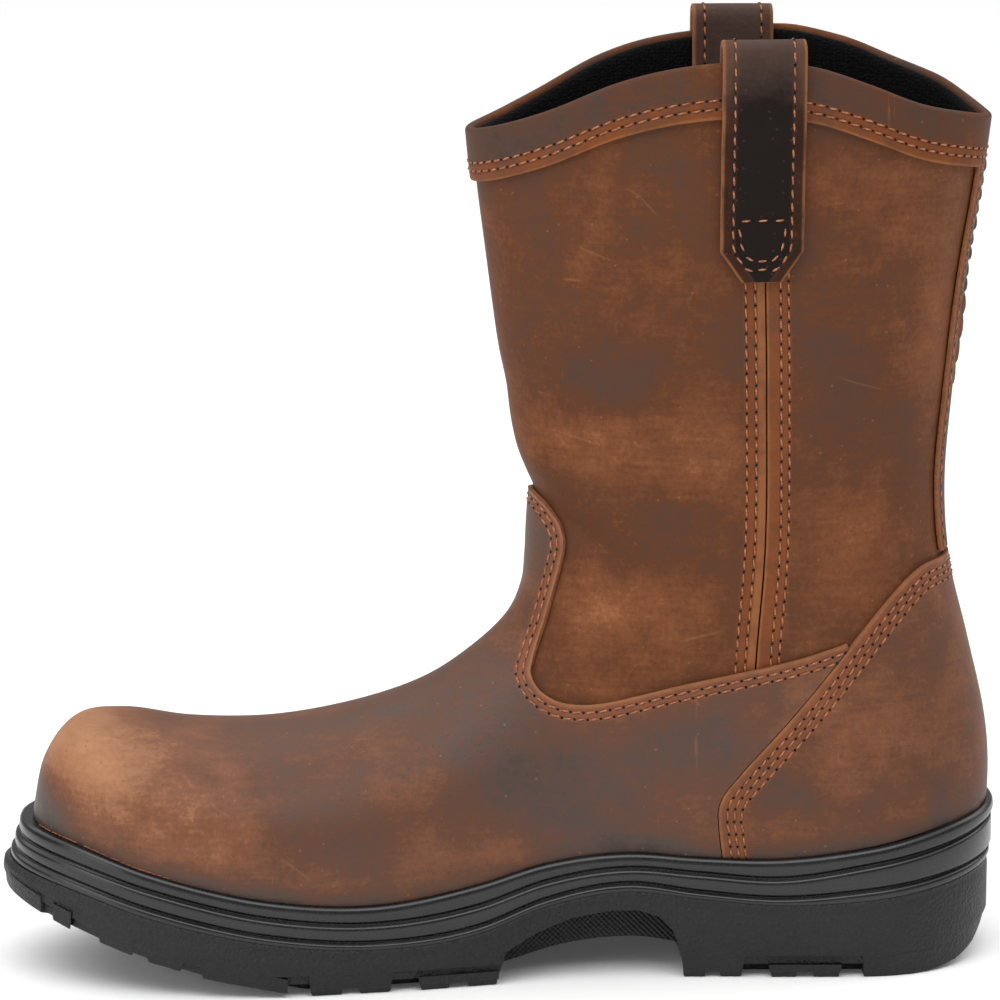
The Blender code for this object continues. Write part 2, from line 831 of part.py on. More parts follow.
def make_upper(home, cutters, paint):
    body = shell("upper", home, -WALL, 0.0, paint)
    outline = floor_line(GAP) + [(TRIM_X, INSTEP_Z), (INSTEP_X, INSTEP_Z)]
    inner = outline + rim_line(0.0, 1.0)[::-1]
    outer = outline + rim_line(0.0, -1.0)[::-1]
    combine(body, side_cutter("upper_trim", inner, cutters, outer), "INTERSECT")
    return body


def heel_corner():
    """Side-view point behind the heel, below the counter's edge."""
    return COUNTER_EDGE_ROWS[0][0] - 5.0, COUNTER_EDGE_ROWS[-1][1]


def make_vamp(home, cutters, paint):
    body = shell("vamp", home, LIFT, LIFT + OVERLAY, paint)
    edge = edge_line(VAMP_EDGE_ROWS)
    front_z = VAMP_EDGE_ROWS[0][1]
    back_z = VAMP_EDGE_ROWS[-1][1]
    outline = floor_line(GAP) + [(TRIM_X, front_z)] + edge + [(-TRIM_X, back_z)]
    combine(body, side_cutter("vamp_trim", outline, cutters), "INTERSECT")
    counter = shifted(edge_line(COUNTER_EDGE_ROWS), GAP)
    block = counter + [heel_corner()]
    combine(body, side_cutter("vamp_heel_cut", block, cutters), "DIFFERENCE")
    return body


def make_counter(home, cutters, paint):
    body = shell("heel_counter", home, LIFT, LIFT + OVERLAY, paint)
    outline = edge_line(COUNTER_EDGE_ROWS) + [heel_corner()]
    combine(body, side_cutter("counter_trim", outline, cutters), "INTERSECT")
    above = floor_line(GAP) + [(TRIM_X, INSTEP_Z), (-TRIM_X, INSTEP_Z)]
    combine(body, side_cutter("counter_floor", above, cutters), "INTERSECT")
    return body


def make_backstay(home, cutters, paint):
    body = shell("backstay", home, LIFT, LIFT + OVERLAY, paint)
    points = []
    for z in (BACKSTAY_LOW, BACKSTAY_HIGH):
        for y in (-BACKSTAY_HALF, BACKSTAY_HALF):
            points.append((-TRIM_X, y, z))
            points.append((BACKSTAY_FRONT, y, z))
    faces = [[0, 1, 3, 2], [4, 6, 7, 5], [0, 4, 5, 1], [2, 3, 7, 6], [0, 2, 6, 4],
             [1, 5, 7, 3]]
    block = add_object("backstay_trim", points, faces, cutters)
    combine(body, block, "INTERSECT")
    return body


def make_collar(home, cutters, paint):
    inside = -WALL - LIFT - BAND_WALL
    body = shell("collar_band", home, inside, LIFT + OVERLAY, paint)
    band = rim_block("band_trim", BAND_RISE - BAND_DEPTH, BAND_RISE, cutters)
    combine(body, band, "INTERSECT")
    slot = shell("band_slot", cutters, -WALL - LIFT, LIFT)
    below = rim_block("slot_trim", -2.0 * BAND_DEPTH, GAP, cutters)
    combine(slot, below, "INTERSECT")
    combine(body, slot, "DIFFERENCE")
    return body


def skin_tree(home):
    body = skin_object("last_surface", home)
    return BVHTree.FromObject(body, bpy.context.evaluated_depsgraph_get())


def beside(tree, x, z, side, stand_off):
    """Point off the shaft's side at x and z, stand_off outward from its wall."""
    start = Vector((x * MM, side * 0.2, z * MM))
    hit, normal, _, _ = tree.ray_cast(start, Vector((0.0, -side, 0.0)))
    return (x, hit.y / MM + side * stand_off, z)


def strap_half_width(z):
    low = STRAP_OUT_ROWS[0][0]
    share = min(max((z - low) / (STRAP_TAPER_Z - low), 0.0), 1.0)
    return STRAP_END_HALF + (STRAP_HALF - STRAP_END_HALF) * share


def make_strap(name, side, tree, home, paint):
    stops = []
    for z, stand_off in STRAP_OUT_ROWS:
        stops.append((z, stand_off, strap_half_width(z)))
    start_z, out = STRAP_OUT_ROWS[-1]
    inside = STRAP_IN_ROWS[0][1]
    for i in range(1, STRAP_ARCH_STEPS):
        angle = math.pi * i / STRAP_ARCH_STEPS
        share = 0.5 + 0.5 * math.cos(angle)
        z = start_z + (STRAP_TOP_Z - start_z) * math.sin(angle) ** STRAP_ARCH_POWER
        stops.append((z, inside + (out - inside) * share, STRAP_HALF))
    for z, stand_off in STRAP_IN_ROWS:
        stops.append((z, stand_off, STRAP_HALF))
    points = []
    faces = []
    for z, stand_off, half in stops:
        for i in range(STRAP_ACROSS + 1):
            x = STRAP_X - half + 2.0 * half * i / STRAP_ACROSS
            points.append(beside(tree, x, z, side, stand_off))
    across = STRAP_ACROSS + 1
    for i in range(len(stops) - 1):
        for j in range(STRAP_ACROSS):
            a = i * across + j
            faces.append([a, a + 1, a + across + 1, a + across])
    body = add_object(name, points, faces, home)
    tool = body.modifiers.new("thickness", "SOLIDIFY")
    tool.thickness = STRAP_THICK * MM
    tool.offset = 0.0
    apply_modifiers(body)
    body.data.materials.append(paint)
    return body


def clear_scene():
    for body in list(bpy.data.objects):
        bpy.data.objects.remove(body, do_unlink=True)


def new_home(name):
    home = bpy.data.collections.new(name)
    bpy.context.scene.collection.children.link(home)
    return home


def main():
    clear_scene()
    home = new_home("wellington_work_boot")
    cutters = new_home("cutters")
    leather = paint_of("oiled_leather", LEATHER)
    dark = paint_of("strap_leather", DARK_LEATHER)
    tread = paint_of("outsole_rubber", TREAD_RUBBER)
    band = paint_of("midsole_rubber", BAND_RUBBER)
    fabric = paint_of("lining_fabric", FABRIC)
    make_outsole(home, cutters, tread)
    make_midsole(home, band)
    make_insole(home, fabric)
    make_upper(home, cutters, leather)
    make_vamp(home, cutters, leather)
    make_counter(home, cutters, leather)
    make_backstay(home, cutters, leather)
    make_collar(home, cutters, leather)
    tree = skin_tree(cutters)
    make_strap("pull_strap_inner", 1.0, tree, home, dark)
    make_strap("pull_strap_outer", -1.0, tree, home, dark)
    for body in cutters.objects:
        body.hide_render = True
        body.display_type = "WIRE"


main()
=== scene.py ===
"""Looks of a right-foot wellington work boot, laid out as an add-on.

+X points to the toe, +Y to the inner side of the foot, +Z up. Tables are in
millimetres and meshes are in metres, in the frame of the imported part.
"""
import math

import bmesh
import bpy
import numpy as np
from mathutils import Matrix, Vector
from mathutils.bvhtree import BVHTree
from mathutils.kdtree import KDTree


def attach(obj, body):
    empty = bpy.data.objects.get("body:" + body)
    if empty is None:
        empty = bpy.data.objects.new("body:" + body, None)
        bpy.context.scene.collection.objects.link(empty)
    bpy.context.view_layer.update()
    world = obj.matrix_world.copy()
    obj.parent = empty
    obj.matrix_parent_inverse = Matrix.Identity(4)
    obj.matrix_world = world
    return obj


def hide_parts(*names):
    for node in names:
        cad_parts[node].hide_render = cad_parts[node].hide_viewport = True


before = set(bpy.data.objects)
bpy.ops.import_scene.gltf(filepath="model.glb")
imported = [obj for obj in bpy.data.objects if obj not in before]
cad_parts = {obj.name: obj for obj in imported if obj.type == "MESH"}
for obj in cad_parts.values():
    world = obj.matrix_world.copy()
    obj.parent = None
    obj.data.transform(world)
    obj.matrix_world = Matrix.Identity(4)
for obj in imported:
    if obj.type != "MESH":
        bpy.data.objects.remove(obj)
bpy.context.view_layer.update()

bl_info = {
    "name": "Wellington work boot",
    "version": (1, 0, 0),
    "blender": (4, 5, 0),
    "location": "3D View > Sidebar > Boot",
    "description": "Builds the leather, rubber, thread and lining of a pull-on work boot",
    "category": "Add Mesh",
}

# A millimetre in metres, and the distances at which points merge and edges collapse
MM = 0.001
MERGE = 0.000002
THINNEST = 0.000001

# Sole outline and lines, heel to toe
TOE_X = 156.5
HEEL_X = -156.5
TOE_ROUND_FROM = 95.0
HEEL_ROUND_FROM = -112.0
TOE_ROUND_POWER = 2.3
HEEL_ROUND_POWER = 2.2
OUTLINE_STEPS = 170
SOLE_COLUMNS = ("x", "inner", "outer", "feather", "rib_1", "rib_2", "split")
SOLE_ROWS = (
    (-156.5, 39.0, -39.0, 49.5, 44.6, 34.2, 31.8),
    (-140.0, 40.0, -40.0, 46.6, 40.6, 31.4, 28.6),
    (-115.0, 41.0, -41.0, 41.4, 35.8, 28.0, 25.0),
    (-85.0, 40.0, -40.5, 37.8, 31.4, 25.5, 23.4),
    (-60.0, 38.8, -40.0, 38.5, 33.2, 27.6, 25.6),
    (-38.0, 38.0, -41.5, 40.0, 35.0, 30.4, 28.0),
    (-12.0, 40.0, -45.5, 37.4, 31.6, 26.2, 24.0),
    (8.0, 44.0, -49.5, 32.4, 25.6, 19.4, 17.2),
    (40.0, 50.0, -53.2, 27.8, 21.8, 16.2, 14.2),
    (75.0, 53.4, -52.0, 30.6, 25.0, 19.6, 17.4),
    (110.0, 51.0, -46.0, 38.7, 33.2, 27.6, 25.0),
    (135.0, 48.0, -39.0, 45.9, 39.8, 34.6, 32.0),
    (156.5, 45.0, -31.0, 48.6, 43.6, 39.0, 36.0),
)
# Inset of each line from the widest outline, at the toe, the side and the heel
INSETS = {
    "outsole": (0.0, 0.4, 1.6),
    "shoulder": (1.7, 0.45, 1.65),
    "rib": (2.4, 0.5, 1.0),
    "lower_band": (3.8, 1.0, 0.5),
    "upper_band": (5.2, 1.6, 0.0),
    "skin": (11.3, 6.0, 4.6),
    "insole": (18.0, 10.2, 11.5),
    "shank": (9.0, 9.0, 9.0),
}
# Midsole side from top to bottom: inset, sideways step in, height line, rise
BAND_ROWS = (
    ("upper_band", 9.0, "feather", 0.0),
    ("upper_band", 2.2, "feather", 0.0),
    ("upper_band", 1.2, "feather", -0.15),
    ("upper_band", 0.45, "feather", -0.7),
    ("upper_band", 0.1, "feather", -1.5),
    ("upper_band", 0.0, "feather", -2.5),
    ("upper_band", 0.0, "rib_1", 1.9),
    ("upper_band", 0.2, "rib_1", 1.2),
    ("upper_band", 0.7, "rib_1", 0.75),
    ("lower_band", 1.8, "rib_1", 0.45),
    ("lower_band", 1.8, "rib_1", 0.0),
    ("lower_band", 0.6, "rib_1", -0.3),
    ("lower_band", 0.15, "rib_1", -0.8),
    ("lower_band", 0.0, "rib_1", -1.5),
    ("lower_band", 0.0, "rib_2", 1.6),
    ("lower_band", 0.2, "rib_2", 1.0),
    ("lower_band", 0.7, "rib_2", 0.65),
    ("rib", 1.7, "rib_2", 0.35),
    ("rib", 1.7, "rib_2", -0.05),
    ("rib", 0.5, "rib_2", -0.35),
    ("rib", 0.05, "rib_2", -0.9),
    ("rib", 0.05, "split", 0.5),
    ("rib", 0.25, "split", 0.1),
    ("rib", 0.6, "split", -0.4),
)
# Outsole wall from top to bottom: inset, sideways step in, line, rise
WALL_PROFILE = (
    ("shoulder", 6.0, "split", 0.0),
    ("shoulder", 0.35, "split", 0.0),
    ("shoulder", 0.0, "split", -0.6),
    ("outsole", 0.3, "split", -1.9),
    ("outsole", 0.0, "split", -3.6),
    ("outsole", 0.0, "base", 0.7),
    ("outsole", 0.2, "base", 0.2),
    ("outsole", 0.7, "base", 0.0),
    ("outsole", 1.2, "base", 0.0),
    ("outsole", 1.4, "strip", 0.3),
    ("outsole", 1.8, "strip", 0.0),
    ("outsole", 8.0, "strip", 0.0),
)
# Recessed strip between the lugs: depth under the wall and least height over the tread
STRIP_DEPTH = 2.8
STRIP_CLEAR = 0.3
# Lower edge of the wall, raised at the arch
WALL_COLUMNS = ("x", "base")
WALL_ROWS = (
    (-156.5, 14.0),
    (-140.0, 9.0),
    (-118.0, 7.0),
    (-54.4, 7.0),
    (-53.8, 10.4),
    (-51.8, 15.6),
    (-47.6, 19.8),
    (-41.0, 22.0),
    (-32.0, 22.0),
    (-20.0, 20.0),
    (-9.0, 15.8),
    (0.4, 10.2),
    (1.2, 6.6),
    (75.0, 6.8),
    (95.0, 10.4),
    (110.0, 14.6),
    (135.0, 23.2),
    (156.5, 31.0),
)
ARCH_FROM = -55.0
ARCH_TO = 2.0
# Underside of the lugs, which rises at heel and toe
TREAD_COLUMNS = ("x", "floor")
TREAD_ROWS = (
    (-156.5, 16.0),
    (-152.5, 10.5),
    (-148.0, 5.2),
    (-142.0, 2.0),
    (-134.0, 0.5),
    (-126.0, 0.0),
    (63.0, 0.0),
    (70.0, 1.7),
    (93.0, 6.2),
    (110.0, 10.6),
    (127.0, 16.2),
    (143.0, 22.4),
    (156.5, 27.4),
)
# Side lugs: back and front end, width of the groove under it, height of its outer ledge
LUG_ROWS = (
    (-104.5, -81.9, 4.9, 4.3),
    (-74.8, -54.1, 4.2, 0.0),
    (2.4, 27.6, 5.4, 4.6),
    (35.0, 62.2, 5.0, 0.0),
    (68.0, 94.5, 0.0, 4.8),
    (99.4, 127.3, 4.2, 0.0),
)
LUG_SET_IN = 0.2
LUG_REACH = 21.0
LUG_TAPER = 1.5
LUG_STEPS = 8
LUG_SINK = 2.0
LUG_DRAFT = 1.4
LUG_ROUND = 0.6
GROOVE_DEPTH = 1.7
# Outer ledge of a lug, and the block that is set in above it
LEDGE_SET_IN = 1.8
LEDGE_OUT = 0.3
LEDGE_DRAFT = 0.2
# Pads beside a groove: lap into the lug, and how far they are trimmed in
PAD_DRAFT = 0.4
PAD_LAP = 0.6
PAD_LEDGE_TRIM = 0.3
PAD_TRIM_SHARE = 0.8
# Webs that close the grooves and the gaps between side lugs, none in front of the last
WEB_SET_IN = 8.0
WEB_REACH = 3.0
WEB_RISE = 0.3
WEB_LAP = 1.5
WEB_LAST = 64.0
# Blocks around toe and heel: start, which end, reach inward, gap, steps, notched steps
TOE_LUG = (134.6, 0, 20.0, 1.2, 24, (5, 6))
HEEL_LUG = (-111.2, 1, 21.0, 0.0, 18, ())
END_LUG_SET_IN = 0.4
END_LUG_DRAFT = 0.7
NOTCH_DEPTH = 3.0
# Centre lugs: back and front end, half width, sweep of the chevron
CENTRE_ROWS = (
    (-124.0, -110.0, 11.0, 5.0),
    (-104.0, -86.0, 13.0, 5.0),
    (-74.0, -60.0, 13.0, 5.0),
    (8.0, 26.0, 14.0, 6.0),
    (36.0, 54.0, 17.0, 6.0),
    (64.0, 82.0, 18.0, 6.0),
    (92.0, 108.0, 16.0, 6.0),
)
# Block that fills the arch: its lower edge from back to front, and its least height
SHANK_COLUMNS = ("x", "floor")
SHANK_ROWS = (
    (-58.0, 8.6),
    (-52.0, 9.8),
    (-43.0, 11.2),
    (-32.0, 11.2),
    (-17.0, 9.4),
    (-1.0, 5.4),
    (5.0, 4.2),
)
SHANK_LEAST = 0.5
SHANK_STEPS = 40
SHANK_RISES = 6
KNURL_PITCH = 1.7

# Foot sections, toe to heel, then shaft sections, heel to above the collar
SKIRT = 1.6
LEAST_SWELL = 0.3
FOOT_COLUMNS = ("edge_x", "ridge_x", "ridge_z", "ridge_y", "swell_in", "swell_out",
                "widest", "crown", "lower")
FOOT_ROWS = (
    (145.2, 145.2, 48.6, 5.8, 0.0, 0.0, 0.34, 2.2, 2.0),
    (142.6, 141.3, 65.2, 5.8, 0.5, 0.5, 0.34, 2.3, 2.0),
    (134.2, 132.0, 75.8, 5.8, 1.0, 1.0, 0.34, 2.5, 2.0),
    (120.2, 117.6, 76.2, 5.8, 1.2, 1.4, 0.33, 2.6, 2.0),
    (100.2, 97.0, 72.6, 5.4, 1.6, 1.8, 0.32, 2.4, 2.0),
    (75.2, 71.5, 72.8, 5.0, 2.0, 2.2, 0.31, 2.2, 2.0),
    (47.2, 46.0, 77.6, 4.6, 2.0, 2.4, 0.30, 2.1, 2.0),
    (19.2, 24.0, 85.6, 4.0, 2.0, 2.4, 0.29, 2.0, 2.0),
    (-8.8, 8.4, 96.0, 3.0, 2.2, 2.2, 0.28, 2.0, 2.0),
    (-39.0, -3.2, 107.4, 2.0, 2.4, 1.6, 0.30, 2.0, 2.0),
    (-75.0, -8.2, 118.0, 1.0, 3.0, 3.0, 0.36, 2.0, 2.0),
    (-110.0, -9.4, 128.0, 0.5, 1.6, 1.6, 0.42, 2.0, 2.6),
    (-135.0, -9.8, 136.4, 0.2, 7.5, 7.5, 0.46, 2.0, 3.2),
    (-148.4, -10.2, 143.0, 0.0, 21.0, 21.0, 0.50, 2.0, 3.0),
)
SHAFT_COLUMNS = ("back_x", "back_z", "front_x", "front_z", "half_in", "half_out",
                 "widest", "front", "back")
SHAFT_ROWS = (
    (-151.9, 47.6, -10.6, 149.0, 36.6, 36.6, 0.50, 2.0, 2.6),
    (-152.6, 62.0, -8.4, 155.0, 36.8, 36.8, 0.52, 2.0, 2.5),
    (-150.8, 78.0, -4.9, 164.0, 37.1, 37.1, 0.53, 2.0, 2.4),
    (-145.4, 101.0, -2.3, 175.0, 37.6, 37.6, 0.53, 2.0, 2.3),
    (-139.6, 125.0, -0.1, 189.5, 38.4, 38.4, 0.52, 2.0, 2.1),
    (-137.6, 150.0, 2.2, 206.0, 39.6, 39.6, 0.51, 2.0, 2.0),
    (-139.4, 179.0, 4.8, 226.0, 41.0, 41.0, 0.50, 2.0, 2.0),
    (-143.2, 216.0, 7.0, 243.0, 42.2, 42.2, 0.50, 2.0, 2.0),
    (-148.3, 250.0, 8.8, 260.0, 43.4, 43.4, 0.50, 2.0, 2.0),
    (-154.0, 299.0, 12.4, 301.0, 44.6, 44.6, 0.50, 2.0, 2.0),
)
LOWER_SHARE = 0.42
# Rows to a section and columns to a side of a sheet, and of the coarser lining
ROWS_PER_SECTION = 16
COLUMNS_PER_SIDE = 92
COARSE_ROWS = 8
COARSE_COLUMNS = 60
COLLAR_ROWS = 60
# Sections, counted from the toe, between which each sheet is made
VAMP_PLACES = (0, 17)
COUNTER_PLACES = (9, 20)
SHAFT_PLACE = 8
BACK_PLACE = 16
COLLAR_PLACE = 18

# Panel edges in the side view
RIM_COLUMNS = ("x", "z")
RIM_ROWS = (
    (-160.0, 262.5),
    (-142.0, 267.0),
    (-126.0, 271.2),
    (-109.0, 278.2),
    (-92.0, 284.0),
    (-76.0, 285.6),
    (-60.0, 285.2),
    (-34.0, 279.4),
    (-13.0, 269.8),
    (20.0, 257.0),
)
# Rise of the rim on the outer side over the inner one
RIM_OUTER_COLUMNS = ("x", "rise")
RIM_OUTER_ROWS = (
    (-160.0, 0.5),
    (-150.0, 2.6),
    (-137.0, 5.4),
    (-118.0, 6.5),
    (-98.0, 4.1),
    (-76.0, 0.3),
    (-40.0, -0.9),
    (-10.0, -1.6),
    (20.0, -1.6),
)
RIM_BLEND = 25.0
VAMP_EDGE_ROWS = (
    (12.0, 153.5),
    (-9.0, 149.8),
    (-16.8, 143.6),
    (-19.6, 136.2),
    (-18.2, 126.8),
    (-14.2, 111.8),
    (-9.8, 99.0),
    (-8.8, 94.0),
    (-12.2, 89.2),
    (-19.6, 86.7),
    (-32.0, 87.8),
    (-57.0, 94.2),
    (-90.0, 101.6),
    (-118.0, 110.4),
)
COUNTER_EDGE_ROWS = (
    (-170.0, 130.5),
    (-139.0, 128.2),
    (-127.0, 126.0),
    (-113.0, 113.4),
    (-90.0, 85.0),
    (-73.0, 65.8),
    (-66.6, 57.0),
    (-66.2, 48.0),
    (-69.0, 30.0),
)
SEAM_COLUMNS = ("z", "x")
SEAM_ROWS = (
    (60.0, -75.6),
    (101.0, -77.1),
    (135.0, -79.4),
    (184.0, -79.2),
    (219.5, -78.3),
    (300.0, -76.4),
)
EDGE_STEPS = 10
FAR_SIDE = 190.0
# Clearance over the welt and between vamp and counter, and drop of a top under the rim
WELT_CLEAR = 0.3
VAMP_CLEAR = 0.3
PANEL_DROP = 2.0
LINING_DROP = 3.0
# Strip up the back: half width, lower and upper end, and the station that it lies behind
BACKSTAY_HALF = 12.0
BACKSTAY_LOW = 129.6
BACKSTAY_HIGH = 252.0
BACKSTAY_BEHIND = -100.0
BACKSTAY_AWAY = -5.0
# Raised relief down the back: height, half length, half width and rise of each pad
RELIEF_DARK_ROWS = (
    (250.0, 2.6, 5.0, 0.7),
    (245.4, 2.4, 5.4, 0.5),
    (241.0, 2.6, 5.2, 0.7),
    (236.6, 2.4, 5.6, 0.5),
    (232.0, 2.8, 5.4, 0.8),
    (227.0, 2.6, 5.6, 0.6),
    (222.4, 2.6, 5.4, 0.9),
    (217.4, 3.0, 5.6, 0.7),
    (212.6, 3.0, 5.2, 1.0),
)
RELIEF_LIGHT_ROWS = (
    (206.6, 4.4, 6.0, 1.3),
    (200.4, 6.0, 5.6, 1.3),
    (193.6, 6.4, 5.2, 1.0),
    (186.4, 6.0, 4.6, 0.5),
)
RELIEF_SINK = 0.4
RELIEF_DROOP = 0.012
RELIEF_EDGE = 20.0
RELIEF_RAY_X = -80.0

# Footbed from top to bottom: sideways step in, rise over the feather line
FOOTBED_ROWS = ((3.0, 4.0), (0.8, 3.9), (0.0, 3.0), (0.0, 1.2), (0.8, 0.5))

# Folded collar band, as offsets down from the shaft's rim and lifts off its surface
BAND_RISE = 1.7
BAND_DEPTH = 17.0
FOLD_INSIDE = -1.2
FOLD_STEPS = 10
FOLD_RETURN = 2.0
FOLD_THICK = 0.5
# Lower lip of the band: height over its edge, set-back from its face
BAND_LIP_ROWS = ((0.0, 0.4), (0.15, 0.12), (0.5, 0.0))
BAND_FACE_FROM = 1.6
BAND_FACE_TO = 1.2
BAND_FACE_STEPS = 9
# Padded lining inside the band: offsets from the rim and lifts
PAD_ROWS = (
    (-0.7, -1.25),
    (-0.1, -1.6),
    (0.0, -2.3),
    (-0.4, -3.1),
    (-1.4, -3.65),
    (-2.6, -3.85),
    (-6.0, -3.85),
    (-11.0, -3.8),
    (-13.4, -3.5),
    (-14.4, -2.8),
    (-14.4, -2.25),
    (-8.0, -2.25),
    (-2.0, -1.7),
)

# Pull straps: path of the folded loop beside the shaft wall, up outside and down inside
STRAP_INNER_X = -76.8
STRAP_OUTER_X = -75.4
STRAP_HALF = 12.7
STRAP_END_HALF = 6.2
STRAP_TAPER_Z = 230.0
STRAP_COLUMNS = ("z", "stand_off")
STRAP_OUT_ROWS = (
    (220.6, 1.7),
    (225.0, 1.7),
    (230.0, 1.7),
    (248.0, 1.7),
    (262.0, 2.3),
    (269.0, 3.4),
    (278.0, 3.5),
    (286.0, 3.4),
)
STRAP_IN_ROWS = (
    (286.0, -5.8),
    (278.0, -5.9),
    (269.0, -5.8),
    (262.0, -4.8),
    (248.0, -4.2),
)
STRAP_TOP_Z = 292.8
# Lift of the outer strap's loop, which grows over a run above its sewn leg
STRAP_OUTER_LIFT = 1.2
STRAP_LIFT_FROM = 250.0
STRAP_LIFT_RUN = 40.0
STRAP_ARCH_STEPS = 6
STRAP_ARCH_POWER = 0.55
STRAP_REFINE = 5
STRAP_ACROSS = 16
STRAP_RAY_Y = 200.0
# Stitch lines of a strap, as distances from its middle line and heights
STRAP_STITCH_LINES = (
    ((8.9, 287.0), (8.9, 260.0), (8.9, 232.0), (8.0, 229.0), (4.6, 224.6), (-4.6, 224.6),
     (-8.0, 229.0), (-8.9, 232.0), (-8.9, 260.0), (-8.9, 287.0)),
    ((7.6, 239.6), (-7.6, 239.6)),
    ((7.2, 238.0), (6.2, 231.5), (3.4, 227.2), (-3.4, 227.2), (-6.2, 231.5), (-7.2, 238.0)),
)
STRAP_STITCH_ASIDE = 8.9
# Tone of a strap at its heights outside, inside the shaft and added along its sides
STRAP_TONE_COLUMNS = ("z", "tone")
STRAP_TONE_ROWS = (
    (222.0, -1.25),
    (236.0, -1.40),
    (250.0, -1.60),
    (268.0, -1.45),
    (284.0, -0.80),
    (292.0, -0.50),
)
STRAP_INSIDE_Y = 40.0
STRAP_INSIDE_TONE = -0.6
STRAP_SIDE_TONE = 0.5

# Offsets of the stitch rows from the panel edge that they follow
VAMP_STITCH_ROWS = (2.3, 4.5)
COUNTER_STITCH_ROWS = (2.8, 5.0, 7.2)
SEAM_FRONT_STITCH_ROWS = (3.0, 5.9)
SEAM_BACK_STITCH_ROWS = (4.3, 6.8)
BAND_STITCH_ROWS = (3.3, 6.0)
BACKSTAY_STITCH_ROWS = (2.4,)
STRAP_STITCH_ROWS = (3.8,)

# A stitch and its needle hole: lifts in metres, and slant, sag and taper of the thread
STITCH_LIFT = 0.00010
HOLE_LIFT = 0.00004
STITCH_SLANT = 0.10
STITCH_SAG = 0.55
STITCH_TAPER = 0.25

# Creases of the worn-in leather: a line in the side view, its width and its lift
CREASE_COLUMNS = ("x_1", "z_1", "x_2", "z_2", "width", "lift")
CREASE_ROWS = (
    (-6.0, 182.0, -24.0, 166.0, 9.0, -1.1),
    (-12.0, 160.0, -34.0, 150.0, 7.0, 0.5),
    (-22.0, 205.0, -50.0, 222.0, 9.0, 0.5),
    (-44.0, 212.0, -62.0, 196.0, 6.0, -0.5),
    (-54.0, 216.0, -66.0, 204.0, 5.0, 0.5),
    (-30.0, 112.0, -66.0, 108.0, 6.0, 0.7),
    (-28.0, 122.0, -60.0, 118.0, 8.0, -0.6),
    (-96.0, 150.0, -120.0, 162.0, 9.0, -0.5),
    (-98.0, 212.0, -126.0, 226.0, 10.0, 0.4),
    (-92.0, 120.0, -112.0, 128.0, 7.0, 0.5),
)

# Patches of the oiled leather: place in the side view, reach and lightness
PATCH_COLUMNS = ("x", "z", "reach_x", "reach_z", "tone")
PATCH_ROWS = (
    # Toe top: partly the leather's golden tone, partly a painted highlight of the light from above
    (126.0, 68.0, 26.0, 13.0, 1.30),
    (136.0, 80.0, 16.0, 12.0, 0.75),
    (98.0, 48.0, 26.0, 10.0, 0.50),
    (84.0, 62.0, 20.0, 10.0, 0.20),
    (143.0, 55.0, 9.0, 8.0, -1.60),
    (103.0, 80.0, 13.0, 6.0, -0.55),
    (66.0, 80.0, 20.0, 5.0, -0.50),
    (46.0, 50.0, 20.0, 12.0, -0.60),
    (70.0, 42.0, 18.0, 8.0, 0.35),
    (24.0, 44.0, 18.0, 8.0, 0.25),
    (14.0, 68.0, 24.0, 18.0, -0.45),
    (22.0, 92.0, 18.0, 9.0, -0.50),
    (0.0, 76.0, 14.0, 16.0, -0.05),
    (-20.0, 66.0, 26.0, 15.0, -0.70),
    (-30.0, 50.0, 26.0, 8.0, -0.35),
    (-50.0, 56.0, 12.0, 10.0, 0.05),
    (-42.0, 70.0, 16.0, 10.0, -0.30),
    (-60.0, 78.0, 16.0, 12.0, -0.75),
    (-38.0, 82.0, 12.0, 8.0, 0.15),
    (-10.0, 140.0, 8.0, 14.0, -0.35),
    (-30.0, 278.0, 45.0, 9.0, -0.40),
    (-120.0, 270.0, 36.0, 9.0, -0.40),
    (-16.0, 240.0, 16.0, 16.0, -0.10),
    (-30.0, 193.0, 20.0, 13.0, -0.55),
    (-42.0, 258.0, 14.0, 8.0, -0.25),
    (-46.0, 145.0, 20.0, 13.0, -0.60),
    (-26.0, 172.0, 16.0, 10.0, 0.40),
    (-30.0, 120.0, 24.0, 12.0, 0.25),
    (-60.0, 176.0, 12.0, 22.0, 0.45),
    (-18.0, 214.0, 14.0, 12.0, -0.35),
    (-42.0, 116.0, 28.0, 9.0, 0.45),
    (-44.0, 228.0, 20.0, 12.0, 0.05),
    (-108.0, 205.0, 18.0, 20.0, -0.30),
    (-108.0, 146.0, 14.0, 14.0, 0.55),
    (-98.0, 178.0, 14.0, 14.0, -0.15),
    (-122.0, 164.0, 14.0, 16.0, 0.05),
    (-122.0, 134.0, 10.0, 12.0, 0.35),
    (-108.0, 120.0, 12.0, 10.0, 0.20),
    (-112.0, 242.0, 22.0, 12.0, 0.10),
    (-140.0, 86.0, 8.0, 22.0, 0.50),
    (-84.0, 60.0, 12.0, 9.0, -0.85),
    (-104.0, 56.0, 20.0, 6.0, -0.45),
    (-136.0, 58.0, 14.0, 6.0, -0.55),
    (-122.0, 74.0, 16.0, 10.0, 0.20),
    (-112.0, 98.0, 12.0, 10.0, -0.15),
)
# Painted shade on the leather just above the sole: how far up it reaches and how dark
SOLE_SHADE_REACH = 5.0
SOLE_SHADE_TONE = -1.0
